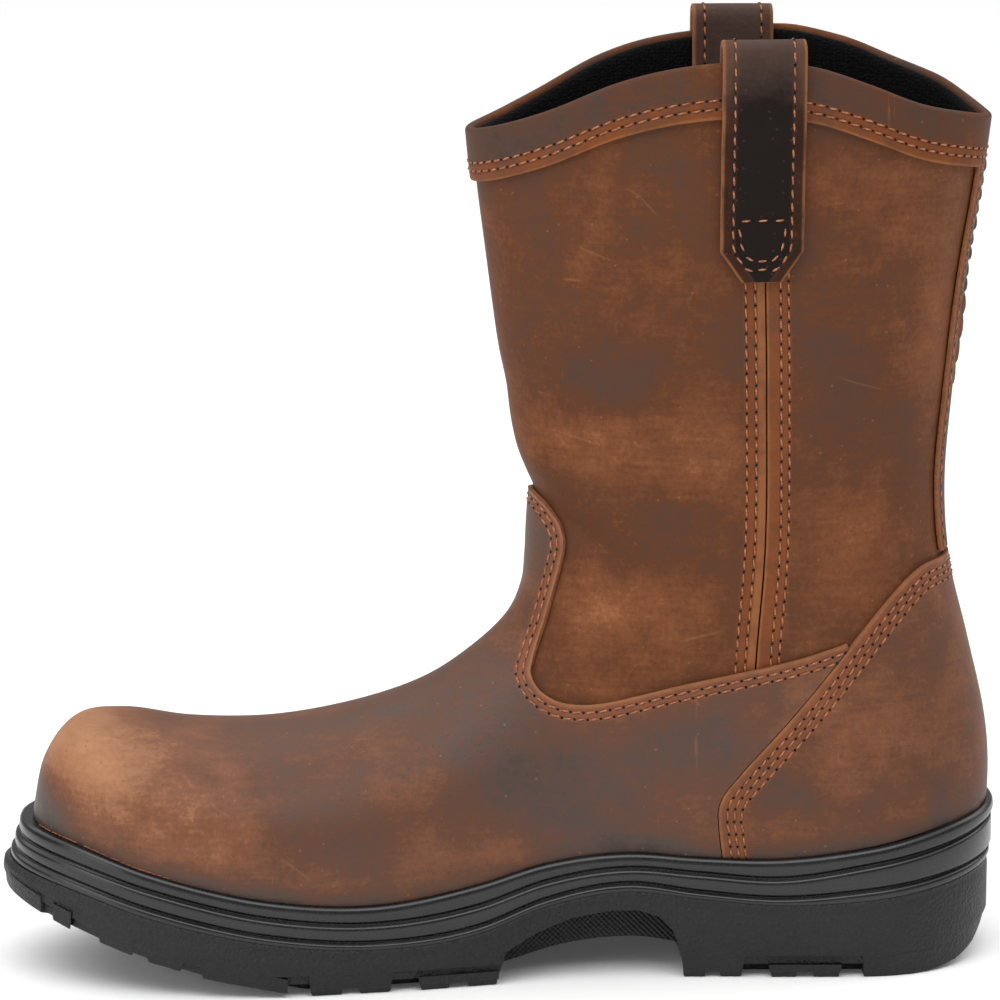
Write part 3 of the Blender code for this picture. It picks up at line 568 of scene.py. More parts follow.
# Thin light scuffs on each leather, and one painted highlight on a crease ridge: x and z of both ends
# in the side view, and width
SCUFF_AND_HIGHLIGHT_ROWS = {
    "vamp_leather": (
        (71.0, 45.4, 58.8, 35.5, 0.5),
        (92.0, 61.0, 84.0, 56.0, 0.4),
    ),
    "shaft_front_panel_leather": (
        (-36.0, 249.0, -41.0, 246.0, 0.5),
        (-39.0, 247.6, -46.0, 240.0, 0.5),
        # Painted highlight along the crease ridge just above the vamp seam
        (-51.5, 106.6, -67.4, 111.0, 0.7),
        (-20.0, 231.0, -33.0, 226.0, 0.5),
        (-14.0, 172.0, -30.0, 168.0, 0.5),
    ),
    "shaft_back_panel_leather": (
        (-100.0, 190.0, -118.0, 184.0, 0.4),
    ),
}

# Flecks of lasting thread between upper and welt, around the toe, radius in metres
FLECK_FROM = 62.0
FLECK_TIP = 0.3
FLECK_COUNT = 150
FLECK_SEED = 7
FLECK_OUT = 2.1
FLECK_RISE = 0.35
FLECK_SPAN = (-0.4, 0.2)
FLECK_SPREAD = 0.25
FLECK_LEAN = 0.3
FLECK_RADIUS = 0.00035
FLECK_LONG = 2.6
FLECK_FLAT = 0.7

# Camera: angles in degrees, distance and target in metres, lens and sensor in millimetres
CAMERA_AZIMUTH = 177.0
CAMERA_ELEVATION = 12.0
CAMERA_DISTANCE = 1.6
CAMERA_LENS = 184.32
CAMERA_SENSOR = 36.0
CAMERA_TARGET = (0.0, 0.0, 0.145)
# Lights in metres and watts: name, place, target, width, height, power
LIGHT_ROWS = (
    ("overhead_softbox", (0.0, -0.6, 3.0), (0.0, -0.6, 0.0), 8.0, 8.0, 226.0),
    ("key_softbox", (0.25, 0.60, 1.15), (0.04, 0.0, 0.06), 1.5, 0.8, 7.0),
    ("toe_side_softbox", (1.30, 0.90, 0.45), (0.05, 0.0, 0.06), 1.0, 0.8, 4.5),
    ("heel_side_softbox", (-1.30, -0.40, 0.90), (-0.1, 0.0, 0.12), 0.8, 1.2, 4.0),
)
WORLD_STRENGTH = 0.30
FLOOR_HALF = 8.0
FLOOR_GLOW = 0.045


def table_columns(names, rows):
    """Columns of a table by name."""
    return dict(zip(names, np.array(rows, float).T))


def smooth(knots, values, x):
    """Cubic curve through the knots, with slopes from the neighbouring rows."""
    x = np.clip(x, knots[0], knots[-1])
    slopes = np.gradient(values, knots)
    i = np.clip(np.searchsorted(knots, x) - 1, 0, len(knots) - 2)
    span = knots[i + 1] - knots[i]
    t = (x - knots[i]) / span
    rise = t * t * (3.0 - 2.0 * t)
    curve = values[i] * (1.0 - rise) + values[i + 1] * rise
    return curve + span * t * (1.0 - t) * ((1.0 - t) * slopes[i] - t * slopes[i + 1])


SOLE = table_columns(SOLE_COLUMNS, SOLE_ROWS)
RIM = table_columns(RIM_COLUMNS, RIM_ROWS)
RIM_OUTER = table_columns(RIM_OUTER_COLUMNS, RIM_OUTER_ROWS)
SHANK = table_columns(SHANK_COLUMNS, SHANK_ROWS)
SEAM = table_columns(SEAM_COLUMNS, SEAM_ROWS)
WALL = table_columns(WALL_COLUMNS, WALL_ROWS)
TREAD = table_columns(TREAD_COLUMNS, TREAD_ROWS)
CREASES = table_columns(CREASE_COLUMNS, CREASE_ROWS)
PATCHES = table_columns(PATCH_COLUMNS, PATCH_ROWS)


def sole_line(name, x):
    return smooth(SOLE["x"], SOLE[name], x)


def wall_base(x):
    return np.interp(x, WALL["x"], WALL["base"])


def tread_floor(x):
    return np.interp(x, TREAD["x"], TREAD["floor"])


def lug_top(x):
    """Height inside the sole at which the lugs begin."""
    return wall_base(x) + LUG_SINK


def strip_floor(x):
    """Lower edge of the recessed strip between the lugs, level with the wall at the arch."""
    base = wall_base(x)
    strip = np.minimum(base, np.maximum(base - STRIP_DEPTH, tread_floor(x) + STRIP_CLEAR))
    return np.where((np.asarray(x) > ARCH_FROM) & (np.asarray(x) < ARCH_TO), base, strip)


def rim_height(points):
    """Height of the shaft's rim at the x and y of each point."""
    outer = np.clip(-points[..., 1] / RIM_BLEND, 0.0, 1.0)
    outer = outer * outer * (3.0 - 2.0 * outer)
    x = points[..., 0]
    rise = smooth(RIM_OUTER["x"], RIM_OUTER["rise"], x)
    return smooth(RIM["x"], RIM["z"], x) + outer * rise


def seam_place(z):
    return smooth(SEAM["z"], SEAM["x"], z)


def ends_of(inset):
    return TOE_X - inset[0], HEEL_X + inset[2]


def stepped_inset(name, step):
    toe, side, heel = INSETS[name]
    return toe + step, side + step, heel + step


def side_of(x, inset, side):
    """Y of the sole outline, drawn in by the inset; side is +1 inner, -1 outer."""
    toe_x, heel_x = ends_of(inset)
    toe = np.clip((x - TOE_ROUND_FROM) / (toe_x - TOE_ROUND_FROM), 0.0, 1.0)
    heel = np.clip((HEEL_ROUND_FROM - x) / (HEEL_ROUND_FROM - heel_x), 0.0, 1.0)
    rounded = (1.0 - toe ** TOE_ROUND_POWER) ** (1.0 / TOE_ROUND_POWER)
    rounded *= (1.0 - heel ** HEEL_ROUND_POWER) ** (1.0 / HEEL_ROUND_POWER)
    inner = sole_line("inner", x)
    outer = sole_line("outer", x)
    half = 0.5 * (inner - outer) - inset[1]
    return 0.5 * (inner + outer) + side * half * rounded


def side_lines(xs, inset, z):
    """Points along the inner and the outer side of an outline."""
    return [np.stack([xs, side_of(xs, inset, side), z], axis=1) for side in (1.0, -1.0)]


def outline_ring(inset, height):
    """Closed ring of points around an outline; height gives z at each x."""
    toe_x, heel_x = ends_of(inset)
    share = 0.5 - 0.5 * np.cos(np.linspace(0.0, math.pi, OUTLINE_STEPS))
    xs = heel_x + share * (toe_x - heel_x)
    in_arch = (WALL["x"] > ARCH_FROM) & (WALL["x"] < ARCH_TO)
    xs = np.sort(np.concatenate([xs, WALL["x"][in_arch]]))
    inner, outer = side_lines(xs, inset, height(xs))
    return np.concatenate([inner, outer[-2::-1]])


def edge_span(x):
    """Middle and half width of the feather edge at a station."""
    inner = side_of(x, INSETS["skin"], 1.0)
    outer = side_of(x, INSETS["skin"], -1.0)
    return 0.5 * (inner + outer), 0.5 * (inner - outer)


def section_rows():
    """Foot sections, then shaft sections, in one set of columns."""
    foot = table_columns(FOOT_COLUMNS, FOOT_ROWS)
    shaft = table_columns(SHAFT_COLUMNS, SHAFT_ROWS)
    half = edge_span(foot["edge_x"])[1]
    foot_part = np.stack([
        foot["edge_x"], sole_line("feather", foot["edge_x"]) - SKIRT, foot["ridge_x"],
        foot["ridge_z"], foot["ridge_y"], half + foot["swell_in"],
        half + foot["swell_out"], foot["widest"], foot["crown"], foot["lower"]], axis=1)
    shaft_part = np.stack([
        shaft["back_x"], shaft["back_z"], shaft["front_x"], shaft["front_z"],
        np.zeros(len(SHAFT_ROWS)), shaft["half_in"], shaft["half_out"],
        shaft["widest"], shaft["front"], shaft["back"]], axis=1)
    return np.concatenate([foot_part, shaft_part])


SECTIONS = section_rows()
LAST_PLACE = len(SECTIONS) - 1


def half_section(cells, on_foot, rise, side):
    """One side of each section, from its edge or back seam up to its ridge."""
    bx, bz, fx, fz, ridge_y, half_in, half_out, widest, crown, lower = cells
    middle, edge = edge_span(bx)
    middle = np.where(on_foot, middle, 0.0)
    edge = np.where(on_foot, edge, 0.0)
    half = np.maximum(half_in if side > 0 else half_out, edge + LEAST_SWELL)
    first = np.arcsin((edge / half) ** (0.5 * lower))
    reach = np.cos(first) ** (2.0 / lower)
    low = np.clip(rise / LOWER_SHARE, 0.0, 1.0)
    angle = first + (0.5 * math.pi - first) * low
    up_low = widest * (1.0 - np.maximum(np.cos(angle), 0.0) ** (2.0 / lower) / reach)
    y_low = middle + side * half * np.sin(angle) ** (2.0 / lower)
    high = np.clip((rise - LOWER_SHARE) / (1.0 - LOWER_SHARE), 0.0, 1.0)
    angle = 0.5 * math.pi * high
    in_share = np.maximum(np.cos(angle), 0.0) ** (2.0 / crown)
    up_high = widest + (1.0 - widest) * np.sin(angle) ** (2.0 / crown)
    y_high = ridge_y + (middle + side * half - ridge_y) * in_share
    up = np.where(rise < LOWER_SHARE, up_low, up_high)
    y = np.where(rise < LOWER_SHARE, y_low, y_high)
    return np.stack([bx + up * (fx - bx), y, bz + up * (fz - bz)], axis=-1)


def last_points(places, rises):
    """Grid of points of the last: a row for each place, from outer to inner edge."""
    place = np.asarray(places, float)[:, None]
    rise = np.asarray(rises, float)[None, :]
    steps = np.arange(len(SECTIONS), dtype=float)
    cells = [smooth(steps, SECTIONS[:, i], place) for i in range(SECTIONS.shape[1])]
    on_foot = place < len(FOOT_ROWS)
    cells[1] = np.where(on_foot, sole_line("feather", cells[0]) - SKIRT, cells[1])
    outer = half_section(cells, on_foot, rise, -1.0)
    inner = half_section(cells, on_foot, rise, 1.0)
    points = np.concatenate([outer, inner[:, -2::-1]], axis=1)
    tip = (place == 0.0)[:, 0]
    points[tip] = points[tip, :1] * (1.0, 0.0, 1.0)
    points[tip, :, 1] = edge_span(cells[0][tip])[0]
    return points


def grid_normals(points):
    """Unit normals of a grid of points, pointing out of the boot."""
    normals = np.cross(np.gradient(points, axis=0), np.gradient(points, axis=1))
    normals /= np.linalg.norm(normals, axis=2)[..., None] + 1e-12
    outward = np.sum(normals * (points - points.mean(axis=(0, 1))))
    return normals if outward > 0.0 else -normals


def crease_lift(points):
    """Lift of soft troughs and ridges, from their lines in the side view."""
    lift = np.zeros(points.shape[:-1])
    for x_1, z_1, x_2, z_2, width, height in zip(*CREASES.values()):
        run = np.array([x_2 - x_1, z_2 - z_1])
        dx = points[..., 0] - x_1
        dz = points[..., 2] - z_1
        along = np.clip((dx * run[0] + dz * run[1]) / run.dot(run), 0.0, 1.0)
        off = np.hypot(dx - along * run[0], dz - along * run[1])
        lift += height * np.exp(-(off / width) ** 2)
    return lift


def skin_points(first, last, per_section=ROWS_PER_SECTION, per_side=COLUMNS_PER_SIDE):
    """Creased surface of the boot between two places, with its normals."""
    places = np.linspace(first, last, int((last - first) * per_section) + 1)
    points = last_points(places, np.linspace(0.0, 1.0, per_side + 1))
    normals = grid_normals(points)
    return points + normals * crease_lift(points)[..., None], normals


def tone_of(points):
    """Lightness of the leather from its patches, partly painted highlight on the toe top, and the
    painted shade along the sole.
    """
    x = points[..., 0]
    z = points[..., 2]
    tone = np.zeros(points.shape[:-1])
    for at_x, at_z, reach_x, reach_z, strength in zip(*PATCHES.values()):
        away = ((x - at_x) / reach_x) ** 2 + ((z - at_z) / reach_z) ** 2
        tone += strength * np.exp(-away)
    # Painted shade just above the sole
    above = np.maximum(z - sole_line("feather", x), 0.0)
    return tone + SOLE_SHADE_TONE * np.exp(-(above / SOLE_SHADE_REACH) ** 2)


def edge_line(rows):
    """Smooth side-view line through the rows of an edge table."""
    cells = np.array(rows, float)
    knots = np.arange(len(rows), dtype=float)
    places = np.linspace(0.0, len(rows) - 1.0, (len(rows) - 1) * EDGE_STEPS + 1)
    return np.stack([smooth(knots, cells[:, i], places) for i in (0, 1)], axis=1)


def vamp_outline():
    line = edge_line(VAMP_EDGE_ROWS)
    corners = [(-FAR_SIDE, line[-1, 1]), (-FAR_SIDE, 0.0), (FAR_SIDE, 0.0),
               (FAR_SIDE, line[0, 1])]
    return np.concatenate([line, corners])


def counter_outline():
    line = edge_line(COUNTER_EDGE_ROWS)
    corners = [(line[-1, 0], 0.0), (-FAR_SIDE, 0.0), (-FAR_SIDE, line[0, 1])]
    return np.concatenate([line, corners])


def inside_depth(points, outline):
    """Side-view distance to an outline, positive inside it."""
    x = points[:, 0]
    z = points[:, 2]
    nearest = np.full(len(points), 1e9)
    inside = np.zeros(len(points), bool)
    ends = np.roll(outline, -1, axis=0)
    for (x_1, z_1), (x_2, z_2) in zip(outline, ends):
        run_x = x_2 - x_1
        run_z = z_2 - z_1
        length = run_x * run_x + run_z * run_z
        along = np.clip(((x - x_1) * run_x + (z - z_1) * run_z) / length, 0.0, 1.0)
        off = np.hypot(x - x_1 - along * run_x, z - z_1 - along * run_z)
        nearest = np.minimum(nearest, off)
        if z_1 != z_2:
            crosses = (z > z_1) != (z > z_2)
            inside ^= crosses & (x < x_1 + (z - z_1) * run_x / run_z)
    return np.where(inside, nearest, -nearest)


def above_welt(points):
    return points[:, 2] - sole_line("feather", points[:, 0]) - WELT_CLEAR


def grid_sheet(points):
    """Sheet of faces whose vertices are put at a grid of points."""
    rows, columns = points.shape[:2]
    work = bmesh.new()
    bmesh.ops.create_grid(work, x_segments=columns - 1, y_segments=rows - 1, size=1.0)
    for vert in work.verts:
        column = round((vert.co.x + 1.0) * 0.5 * (columns - 1))
        row = round((vert.co.y + 1.0) * 0.5 * (rows - 1))
        vert.co = Vector(points[row, column] * MM)
    return work


def close_up(work):
    bmesh.ops.remove_doubles(work, verts=work.verts, dist=MERGE)
    bmesh.ops.dissolve_degenerate(work, edges=work.edges, dist=THINNEST)
    bmesh.ops.recalc_face_normals(work, faces=work.faces)


def point_array(work):
    return np.array([vert.co for vert in work.verts], float) / MM


def skin_sheet(first, last, **counts):
    """Triangles of the boot's surface between two places, facing out."""
    work = grid_sheet(skin_points(first, last, **counts)[0])
    close_up(work)
    bmesh.ops.triangulate(work, faces=work.faces)
    middle = Vector(point_array(work).mean(axis=0) * MM)
    outward = 0.0
    for face in work.faces:
        outward += face.normal.dot(face.calc_center_median() - middle) * face.calc_area()
    if outward < 0.0:
        bmesh.ops.reverse_faces(work, faces=work.faces)
    work.normal_update()
    return work


def trim(work, keep, raw=False):
    """Cuts a sheet along keep = 0 and drops the part where keep is negative.

    The nearer end of each crossed edge is moved onto the line, so no thin faces are
    left. A raw cut marks its vertices, which later give the distance from the edge.
    """
    mark = work.verts.layers.float.get("raw") or work.verts.layers.float.new("raw")
    work.verts.ensure_lookup_table()
    work.verts.index_update()
    points = point_array(work)
    value = keep(points)
    ends = np.array([(e.verts[0].index, e.verts[1].index) for e in work.edges])
    ends = ends[value[ends[:, 0]] * value[ends[:, 1]] < 0.0]
    a, b = ends.T
    share = value[a] / (value[a] - value[b])
    cuts = points[a] + share[:, None] * (points[b] - points[a])
    nearer = np.where(np.abs(value[a]) < np.abs(value[b]), a, b)
    total = np.zeros_like(points)
    count = np.zeros(len(points))
    np.add.at(total, nearer, cuts)
    np.add.at(count, nearer, 1.0)
    for i in np.flatnonzero(count):
        vert = work.verts[i]
        vert.co = Vector(total[i] / count[i] * MM)
        value[i] = 0.0
        vert[mark] = 1.0 if raw else 0.0
    dropped = []
    for face in work.faces:
        values = [value[vert.index] for vert in face.verts]
        if min(values) < 0.0 or max(values) <= 0.0:
            dropped.append(face)
    bmesh.ops.delete(work, geom=dropped, context="FACES")
    loose = [vert for vert in work.verts if not vert.link_faces]
    bmesh.ops.delete(work, geom=loose, context="VERTS")
    work.normal_update()


def measure_edge(work, reach=30.0):
    """Stores each vertex's distance from the raw edge, in millimetres."""
    mark = work.verts.layers.float["raw"]
    edge = work.verts.layers.float.new("edge")
    samples = []
    for line in work.edges:
        a, b = line.verts
        if line.is_boundary and a[mark] > 0.5 and b[mark] > 0.5:
            samples.extend(a.co.lerp(b.co, share) for share in (0.0, 0.25, 0.5, 0.75))
    tree = KDTree(len(samples))
    for i, place in enumerate(samples):
        tree.insert(place, i)
    tree.balance()
    for vert in work.verts:
        vert[edge] = min(tree.find(vert.co)[2] / MM, reach)
    return edge


def level_lines(work, layer, level):
    """Lines on a sheet along which a stored distance has one value."""
    work.edges.index_update()
    hits = {}
    for line in work.edges:
        a, b = line.verts
        if (a[layer] - level) * (b[layer] - level) < 0.0:
            share = (level - a[layer]) / (b[layer] - a[layer])
            hits[line.index] = (a.co.lerp(b.co, share), a.normal.lerp(b.normal, share))
    links = {index: [] for index in hits}
    for face in work.faces:
        pair = [line.index for line in face.edges if line.index in hits]
        if len(pair) == 2:
            links[pair[0]].append(pair[1])
            links[pair[1]].append(pair[0])
    lines = []
    todo = set(hits)
    starts = [index for index in hits if len(links[index]) == 1] + list(hits)
    for start in starts:
        if start not in todo:
            continue
        chain = [start]
        todo.discard(start)
        while True:
            onward = [index for index in links[chain[-1]] if index in todo]
            if not onward:
                break
            chain.append(onward[0])
            todo.discard(onward[0])
        lines.append([hits[index] for index in chain])
    return lines


def lengths_along(points):
    """Distance of each point from the first, along the line."""
    runs = np.linalg.norm(np.diff(points, axis=0), axis=1)
    return np.concatenate([[0.0], np.cumsum(runs)])


def even_steps(line, pitch):
    """Places along a line at an even pitch: point, direction and normal."""
    points = np.array([point for point, _ in line], float)
    normals = np.array([normal for _, normal in line], float)
    length = lengths_along(points)
    count = int(length[-1] / pitch)
    if count < 2:
        return []
    at = (np.arange(count) + 0.5) * length[-1] / count
    places = np.stack([np.interp(at, length, points[:, i]) for i in range(3)], axis=1)
    facing = np.stack([np.interp(at, length, normals[:, i]) for i in range(3)], axis=1)
    ahead = np.gradient(places, axis=0)
    return list(zip(places, ahead, facing))


def new_piece(name, work, materials, smooth_angle=None):
    """Mesh object from a bmesh, riding on the boot, with its materials."""
    mesh = bpy.data.meshes.new(name)
    work.to_mesh(mesh)
    work.free()
    return mesh_piece(name, mesh, materials, smooth_angle)


def mesh_piece(name, mesh, materials, smooth_angle=None):
    for material in materials:
        mesh.materials.append(material)
    mesh.shade_smooth()
    if smooth_angle is not None:
        mesh.set_sharp_from_angle(angle=math.radians(smooth_angle))
    piece = bpy.data.objects.new(name, mesh)
    bpy.context.scene.collection.objects.link(piece)
    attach(piece, "root")
    return piece


def store(work, name, values):
    layer = work.verts.layers.float.get(name) or work.verts.layers.float.new(name)
    for vert, value in zip(work.verts, values):
        vert[layer] = value


def thicken(piece, low, high, rim_material, round_edge=0.35):
    """Gives a sheet its thickness between two lifts, with soft raw edges."""
    tool = piece.modifiers.new("thickness", "SOLIDIFY")
    tool.thickness = (high - low) * MM
    tool.offset = (high + low) / (high - low)
    tool.use_even_offset = False
    tool.material_offset_rim = rim_material
    if round_edge > 0.0:
        soft = piece.modifiers.new("soft_edge", "BEVEL")
        soft.width = round_edge * MM
        soft.segments = 2
        soft.limit_method = "ANGLE"
        soft.angle_limit = math.radians(60.0)


def joined_copies(name, base, places, lift, slant, material):
    """One mesh of many copies of a small bmesh, each set on its place."""
    base.verts.index_update()
    verts = np.array([vert.co for vert in base.verts], float)
    faces = [[vert.index for vert in face.verts] for face in base.faces]
    base.free()
    points = []
    polygons = []
    for place, ahead, normal in places:
        up = normal / np.linalg.norm(normal)
        along = ahead - up * ahead.dot(up)
        along /= np.linalg.norm(along)
        aside = np.cross(up, along)
        along, aside = along + slant * aside, aside - slant * along
        axes = np.stack([along, aside, up])
        first = len(points) * len(verts)
        points.append(place + up * lift + verts @ axes)
        polygons.extend([[index + first for index in face] for face in faces])
    mesh = bpy.data.meshes.new(name)
    mesh.from_pydata(np.concatenate(points).tolist(), [], polygons)
    return mesh_piece(name, mesh, [material])


def stitch_rows(name, lines, lift):
    """Stitches and needle holes along lines on the leather's surface."""
    sizes = bpy.context.scene.boot_sizes
    stitches = []
    holes = []
    for line in lines:
        steps = even_steps(line, sizes.stitch_pitch)
        stitches.extend(steps)
        for place, ahead, normal in steps:
            run = ahead / np.linalg.norm(ahead)
            holes.append((place + run * 0.5 * sizes.stitch_pitch, ahead, normal))
    thread = bmesh.new()
    bmesh.ops.create_uvsphere(thread, u_segments=6, v_segments=6, radius=0.5)
    half = 0.5 * sizes.stitch_length
    for vert in thread.verts:
        x, y, z = vert.co.z * 2.0, vert.co.x * 2.0, vert.co.y * 2.0
        sag = STITCH_SAG * sizes.thread_width * x * x
        full = 1.0 - STITCH_TAPER * x * x
        vert.co = (x * half, 0.5 * sizes.thread_width * y * full,
                   0.5 * sizes.thread_width * z * full - sag)
    bmesh.ops.recalc_face_normals(thread, faces=thread.faces)
    joined_copies(name + "_stitches", thread, stitches, lift * MM + STITCH_LIFT, STITCH_SLANT,
                  thread_material())
    # Needle holes are flat dark discs on the leather, painted shade of each hole
    hole = bmesh.new()
    bmesh.ops.create_circle(hole, cap_ends=True, cap_tris=True, segments=7,
                            radius=0.5 * sizes.hole_width)
    joined_copies(name + "_needle_holes", hole, holes, lift * MM + HOLE_LIFT, 0.0,
                  hole_material())


class Wire:
    """A shader socket that takes part in Python expressions."""

    def __init__(self, tree, socket=None):
        self.tree = tree
        self.socket = socket

    def node(self, kind, settings=None, inputs=None, output=0):
        """Adds a node, sets it up, feeds its sockets and gives back one output."""
        made = self.tree.nodes.new(kind)
        for name, value in (settings or {}).items():
            if name == "stops":
                self.set_stops(made.color_ramp, value)
            else:
                setattr(made, name, value)
        for name, value in (inputs or {}).items():
            self.feed(made.inputs[name], value)
        return Wire(self.tree, made.outputs[output])

    def feed(self, socket, value):
        if isinstance(value, Wire):
            self.tree.links.new(value.socket, socket)
        else:
            socket.default_value = value

    def set_stops(self, ramp, stops):
        while len(ramp.elements) < len(stops):
            ramp.elements.new(0.5)
        for element, (place, colour) in zip(ramp.elements, stops):
            element.position = place
            element.color = colour

    def math(self, operation, first, second=0.0):
        return self.node("ShaderNodeMath", {"operation": operation}, {0: first, 1: second})

    def __add__(self, other):
        return self.math("ADD", self, other)

    def __radd__(self, other):
        return self.math("ADD", other, self)

    def __sub__(self, other):
        return self.math("SUBTRACT", self, other)

    def __rsub__(self, other):
        return self.math("SUBTRACT", other, self)

    def __mul__(self, other):
        return self.math("MULTIPLY", self, other)

    def __rmul__(self, other):
        return self.math("MULTIPLY", other, self)

    def band(self, low, high):
        """0 below low, 1 above high, soft between; low may be the higher one."""
        settings = {"interpolation_type": "SMOOTHSTEP"}
        inputs = {"Value": self, "From Min": low, "From Max": high}
        return self.node("ShaderNodeMapRange", settings, inputs)

    def ridge(self, middle, width):
        """1 at the middle value, falling to 0 at a width to either side."""
        return self.math("ABSOLUTE", self - middle).band(width, 0.0)

    def mix(self, first, second):
        """Colour between two, with this value as the share of the second."""
        settings = {"data_type": "RGBA"}
        return self.node("ShaderNodeMix", settings, {0: self, 6: first, 7: second}, 2)


def colour(values, share=1.0):
    """Colour of a shader socket, darkened to a share of its values."""
    return (share * values[0], share * values[1], share * values[2], 1.0)


def new_material(name):
    """Material with its shader, and a wire to start expressions from."""
    material = bpy.data.materials.get(name)
    if material is not None:
        return material, None, None
    material = bpy.data.materials.new(name)
    material.use_nodes = True
    shader = material.node_tree.nodes["Principled BSDF"]
    return material, shader, Wire(material.node_tree)


def object_place(wire, scale=(1.0, 1.0, 1.0), turn=(0.0, 0.0, 0.0)):
    place = wire.node("ShaderNodeTexCoord", output="Object")
    return wire.node("ShaderNodeMapping", {}, {
        "Vector": place, "Rotation": [math.radians(a) for a in turn], "Scale": scale})


def side_view(wire):
    """X and z of the place that is shaded."""
    place = wire.node("ShaderNodeTexCoord", output="Object")
    return [wire.node("ShaderNodeSeparateXYZ", {}, {"Vector": place}, axis) for axis in "XZ"]


def noise(wire, place, scale, detail=3.0, rough=0.55, warp=0.0):
    return wire.node("ShaderNodeTexNoise", {}, {
        "Vector": place, "Scale": scale, "Detail": detail, "Roughness": rough,
        "Distortion": warp})


def attribute(wire, name):
    return wire.node("ShaderNodeAttribute", {"attribute_name": name}, output="Fac")


def bump(wire, height, strength, distance):
    return wire.node("ShaderNodeBump", {}, {
        "Height": height, "Strength": strength, "Distance": distance})


def pick_dots(wire, place, scale, low, high, share):
    """Small dots in a share of the cells of a scattered pattern."""
    settings = {"feature": "F1"}
    inputs = {"Vector": place, "Scale": scale}
    away = wire.node("ShaderNodeTexVoronoi", settings, inputs, "Distance")
    tint_of_cell = wire.node("ShaderNodeTexVoronoi", settings, inputs, "Color")
    pick = wire.node("ShaderNodeSeparateColor", {}, {"Color": tint_of_cell}, "Red")
    return away.band(high, low) * pick.band(share + 0.02, share)


def scuff_and_highlight_line(wire, row):
    """Thin line between two places in the side view, soft at its ends."""
    x, z = side_view(wire)
    x_1, z_1, x_2, z_2, width = row
    run = math.hypot(x_2 - x_1, z_2 - z_1)
    ahead_x = (x_2 - x_1) / run
    ahead_z = (z_2 - z_1) / run
    dx = x - x_1 * MM
    dz = z - z_1 * MM
    along = dx * ahead_x + dz * ahead_z
    off = dx * ahead_z - dz * ahead_x
    mark = off.ridge(0.0, width * MM) * along.band(0.0, 0.3 * run * MM)
    return mark * along.band(run * MM, 0.7 * run * MM)


def leather_material(name, rows, dark_share=0.0, warm_share=0.75, black_share=0.5, uneven=1.0,
                     gloss=0.06, lip=0.9):
    """Oiled leather with patches, pores, fine scratches and a warm stitched edge; painted shade in the
    stitch grooves, and painted highlights on one crease ridge and partly along the cut edges.
    """
    material, shader, wire = new_material(name)
    if shader is None:
        return material
    colours = bpy.context.scene.boot_colours
    place = object_place(wire)
    tone = attribute(wire, "tone")
    edge = attribute(wire, "edge")
    cloud = noise(wire, place, 20.0, 3.0, 0.5, 0.4)
    mottle = noise(wire, place, 110.0, 4.0, 0.6, 0.3)
    fleck = noise(wire, place, 620.0, 3.0, 0.65)
    fibre = noise(wire, object_place(wire, (70.0, 70.0, 760.0)), 1.0, 3.0)
    shade = (cloud - 0.5) * 0.64 + (mottle - 0.5) * 0.36 + (fleck - 0.5) * 0.34
    shade = (shade + (fibre - 0.5) * 0.20) * (uneven - tone.band(0.5, 1.3) * 0.5) + tone * 0.28
    shade = wire.math("MAXIMUM", shade + (0.52 - dark_share), 0.0)
    deep = [oiled + (black - oiled) * black_share
            for oiled, black in zip(colours.leather_oiled, colours.leather_black)]
    base = wire.node("ShaderNodeValToRGB", {"stops": (
        (0.00, colour(deep)), (0.22, colour(colours.leather_oiled)),
        (0.46, colour(colours.leather_brown)), (0.68, colour(colours.leather_warm)),
        (0.95, colour(colours.leather_tan)))},
        {"Fac": shade})
    scratch = noise(wire, object_place(wire, (26.0, 90.0, 620.0), (0.0, 38.0, 0.0)), 1.0, 1.0)
    other = noise(wire, object_place(wire, (700.0, 90.0, 30.0), (0.0, 24.0, 0.0)), 1.0, 1.0)
    lines = wire.math("MAXIMUM", scratch.band(0.74, 0.80), other.band(0.75, 0.81))
    lines = lines * mottle.band(0.45, 0.62)
    # Scuffs, and the painted highlight on one crease ridge, join the light lines
    for row in SCUFF_AND_HIGHLIGHT_ROWS.get(name, ()):
        lines = wire.math("MAXIMUM", lines, scuff_and_highlight_line(wire, row))
    base = (lines * 0.18).mix(base, colour(colours.leather_tan))
    pores = pick_dots(wire, place, 420.0, 0.08, 0.24, 0.45)
    specks = pick_dots(wire, place, 300.0, 0.05, 0.16, 0.22)
    base = (pores * 0.45).mix(base, colour(colours.leather_oiled))
    base = (specks * (0.30 * uneven)).mix(base, colour(colours.leather_tan))
    warm = edge.band(rows[-1] + 1.2, rows[-1] + 0.2) * warm_share
    warm = warm * (0.55 + mottle.band(0.36, 0.60) * 0.45)
    base = warm.mix(base, colour(colours.leather_seam))
    # Lighter band along the cut edge in the raw edge's colour; where it is wide, as on the front shaft
    # panel, it is partly a painted highlight where the seam edge catches the light
    light = edge.band(lip + 0.4, lip - 0.4) * (0.25 + mottle.band(0.3, 0.6) * 0.4)
    base = light.mix(base, colour(colours.leather_raw))
    # Painted shade: the leather darkens in the groove along each stitch row
    groove = edge.ridge(rows[0], 0.75)
    for offset in rows[1:]:
        groove = wire.math("MAXIMUM", groove, edge.ridge(offset, 0.75))
    base = (groove * 0.32).mix(base, colour(colours.leather_oiled))
    wire.feed(shader.inputs["Base Color"], base)
    wire.feed(shader.inputs["Roughness"], 0.46 + shade * 0.14 + (fleck - 0.5) * 0.12)
    shader.inputs["Specular IOR Level"].default_value = gloss
    fine = noise(wire, place, 1900.0, 2.0)
    relief = fine * 0.5 + fleck * 0.5 + mottle * 0.8 + fibre * 0.3 - groove * 1.3
    relief = relief - lines * 0.3 - pores * 0.5
    wire.feed(shader.inputs["Normal"], bump(wire, relief, 0.5, 0.00035))
    return material


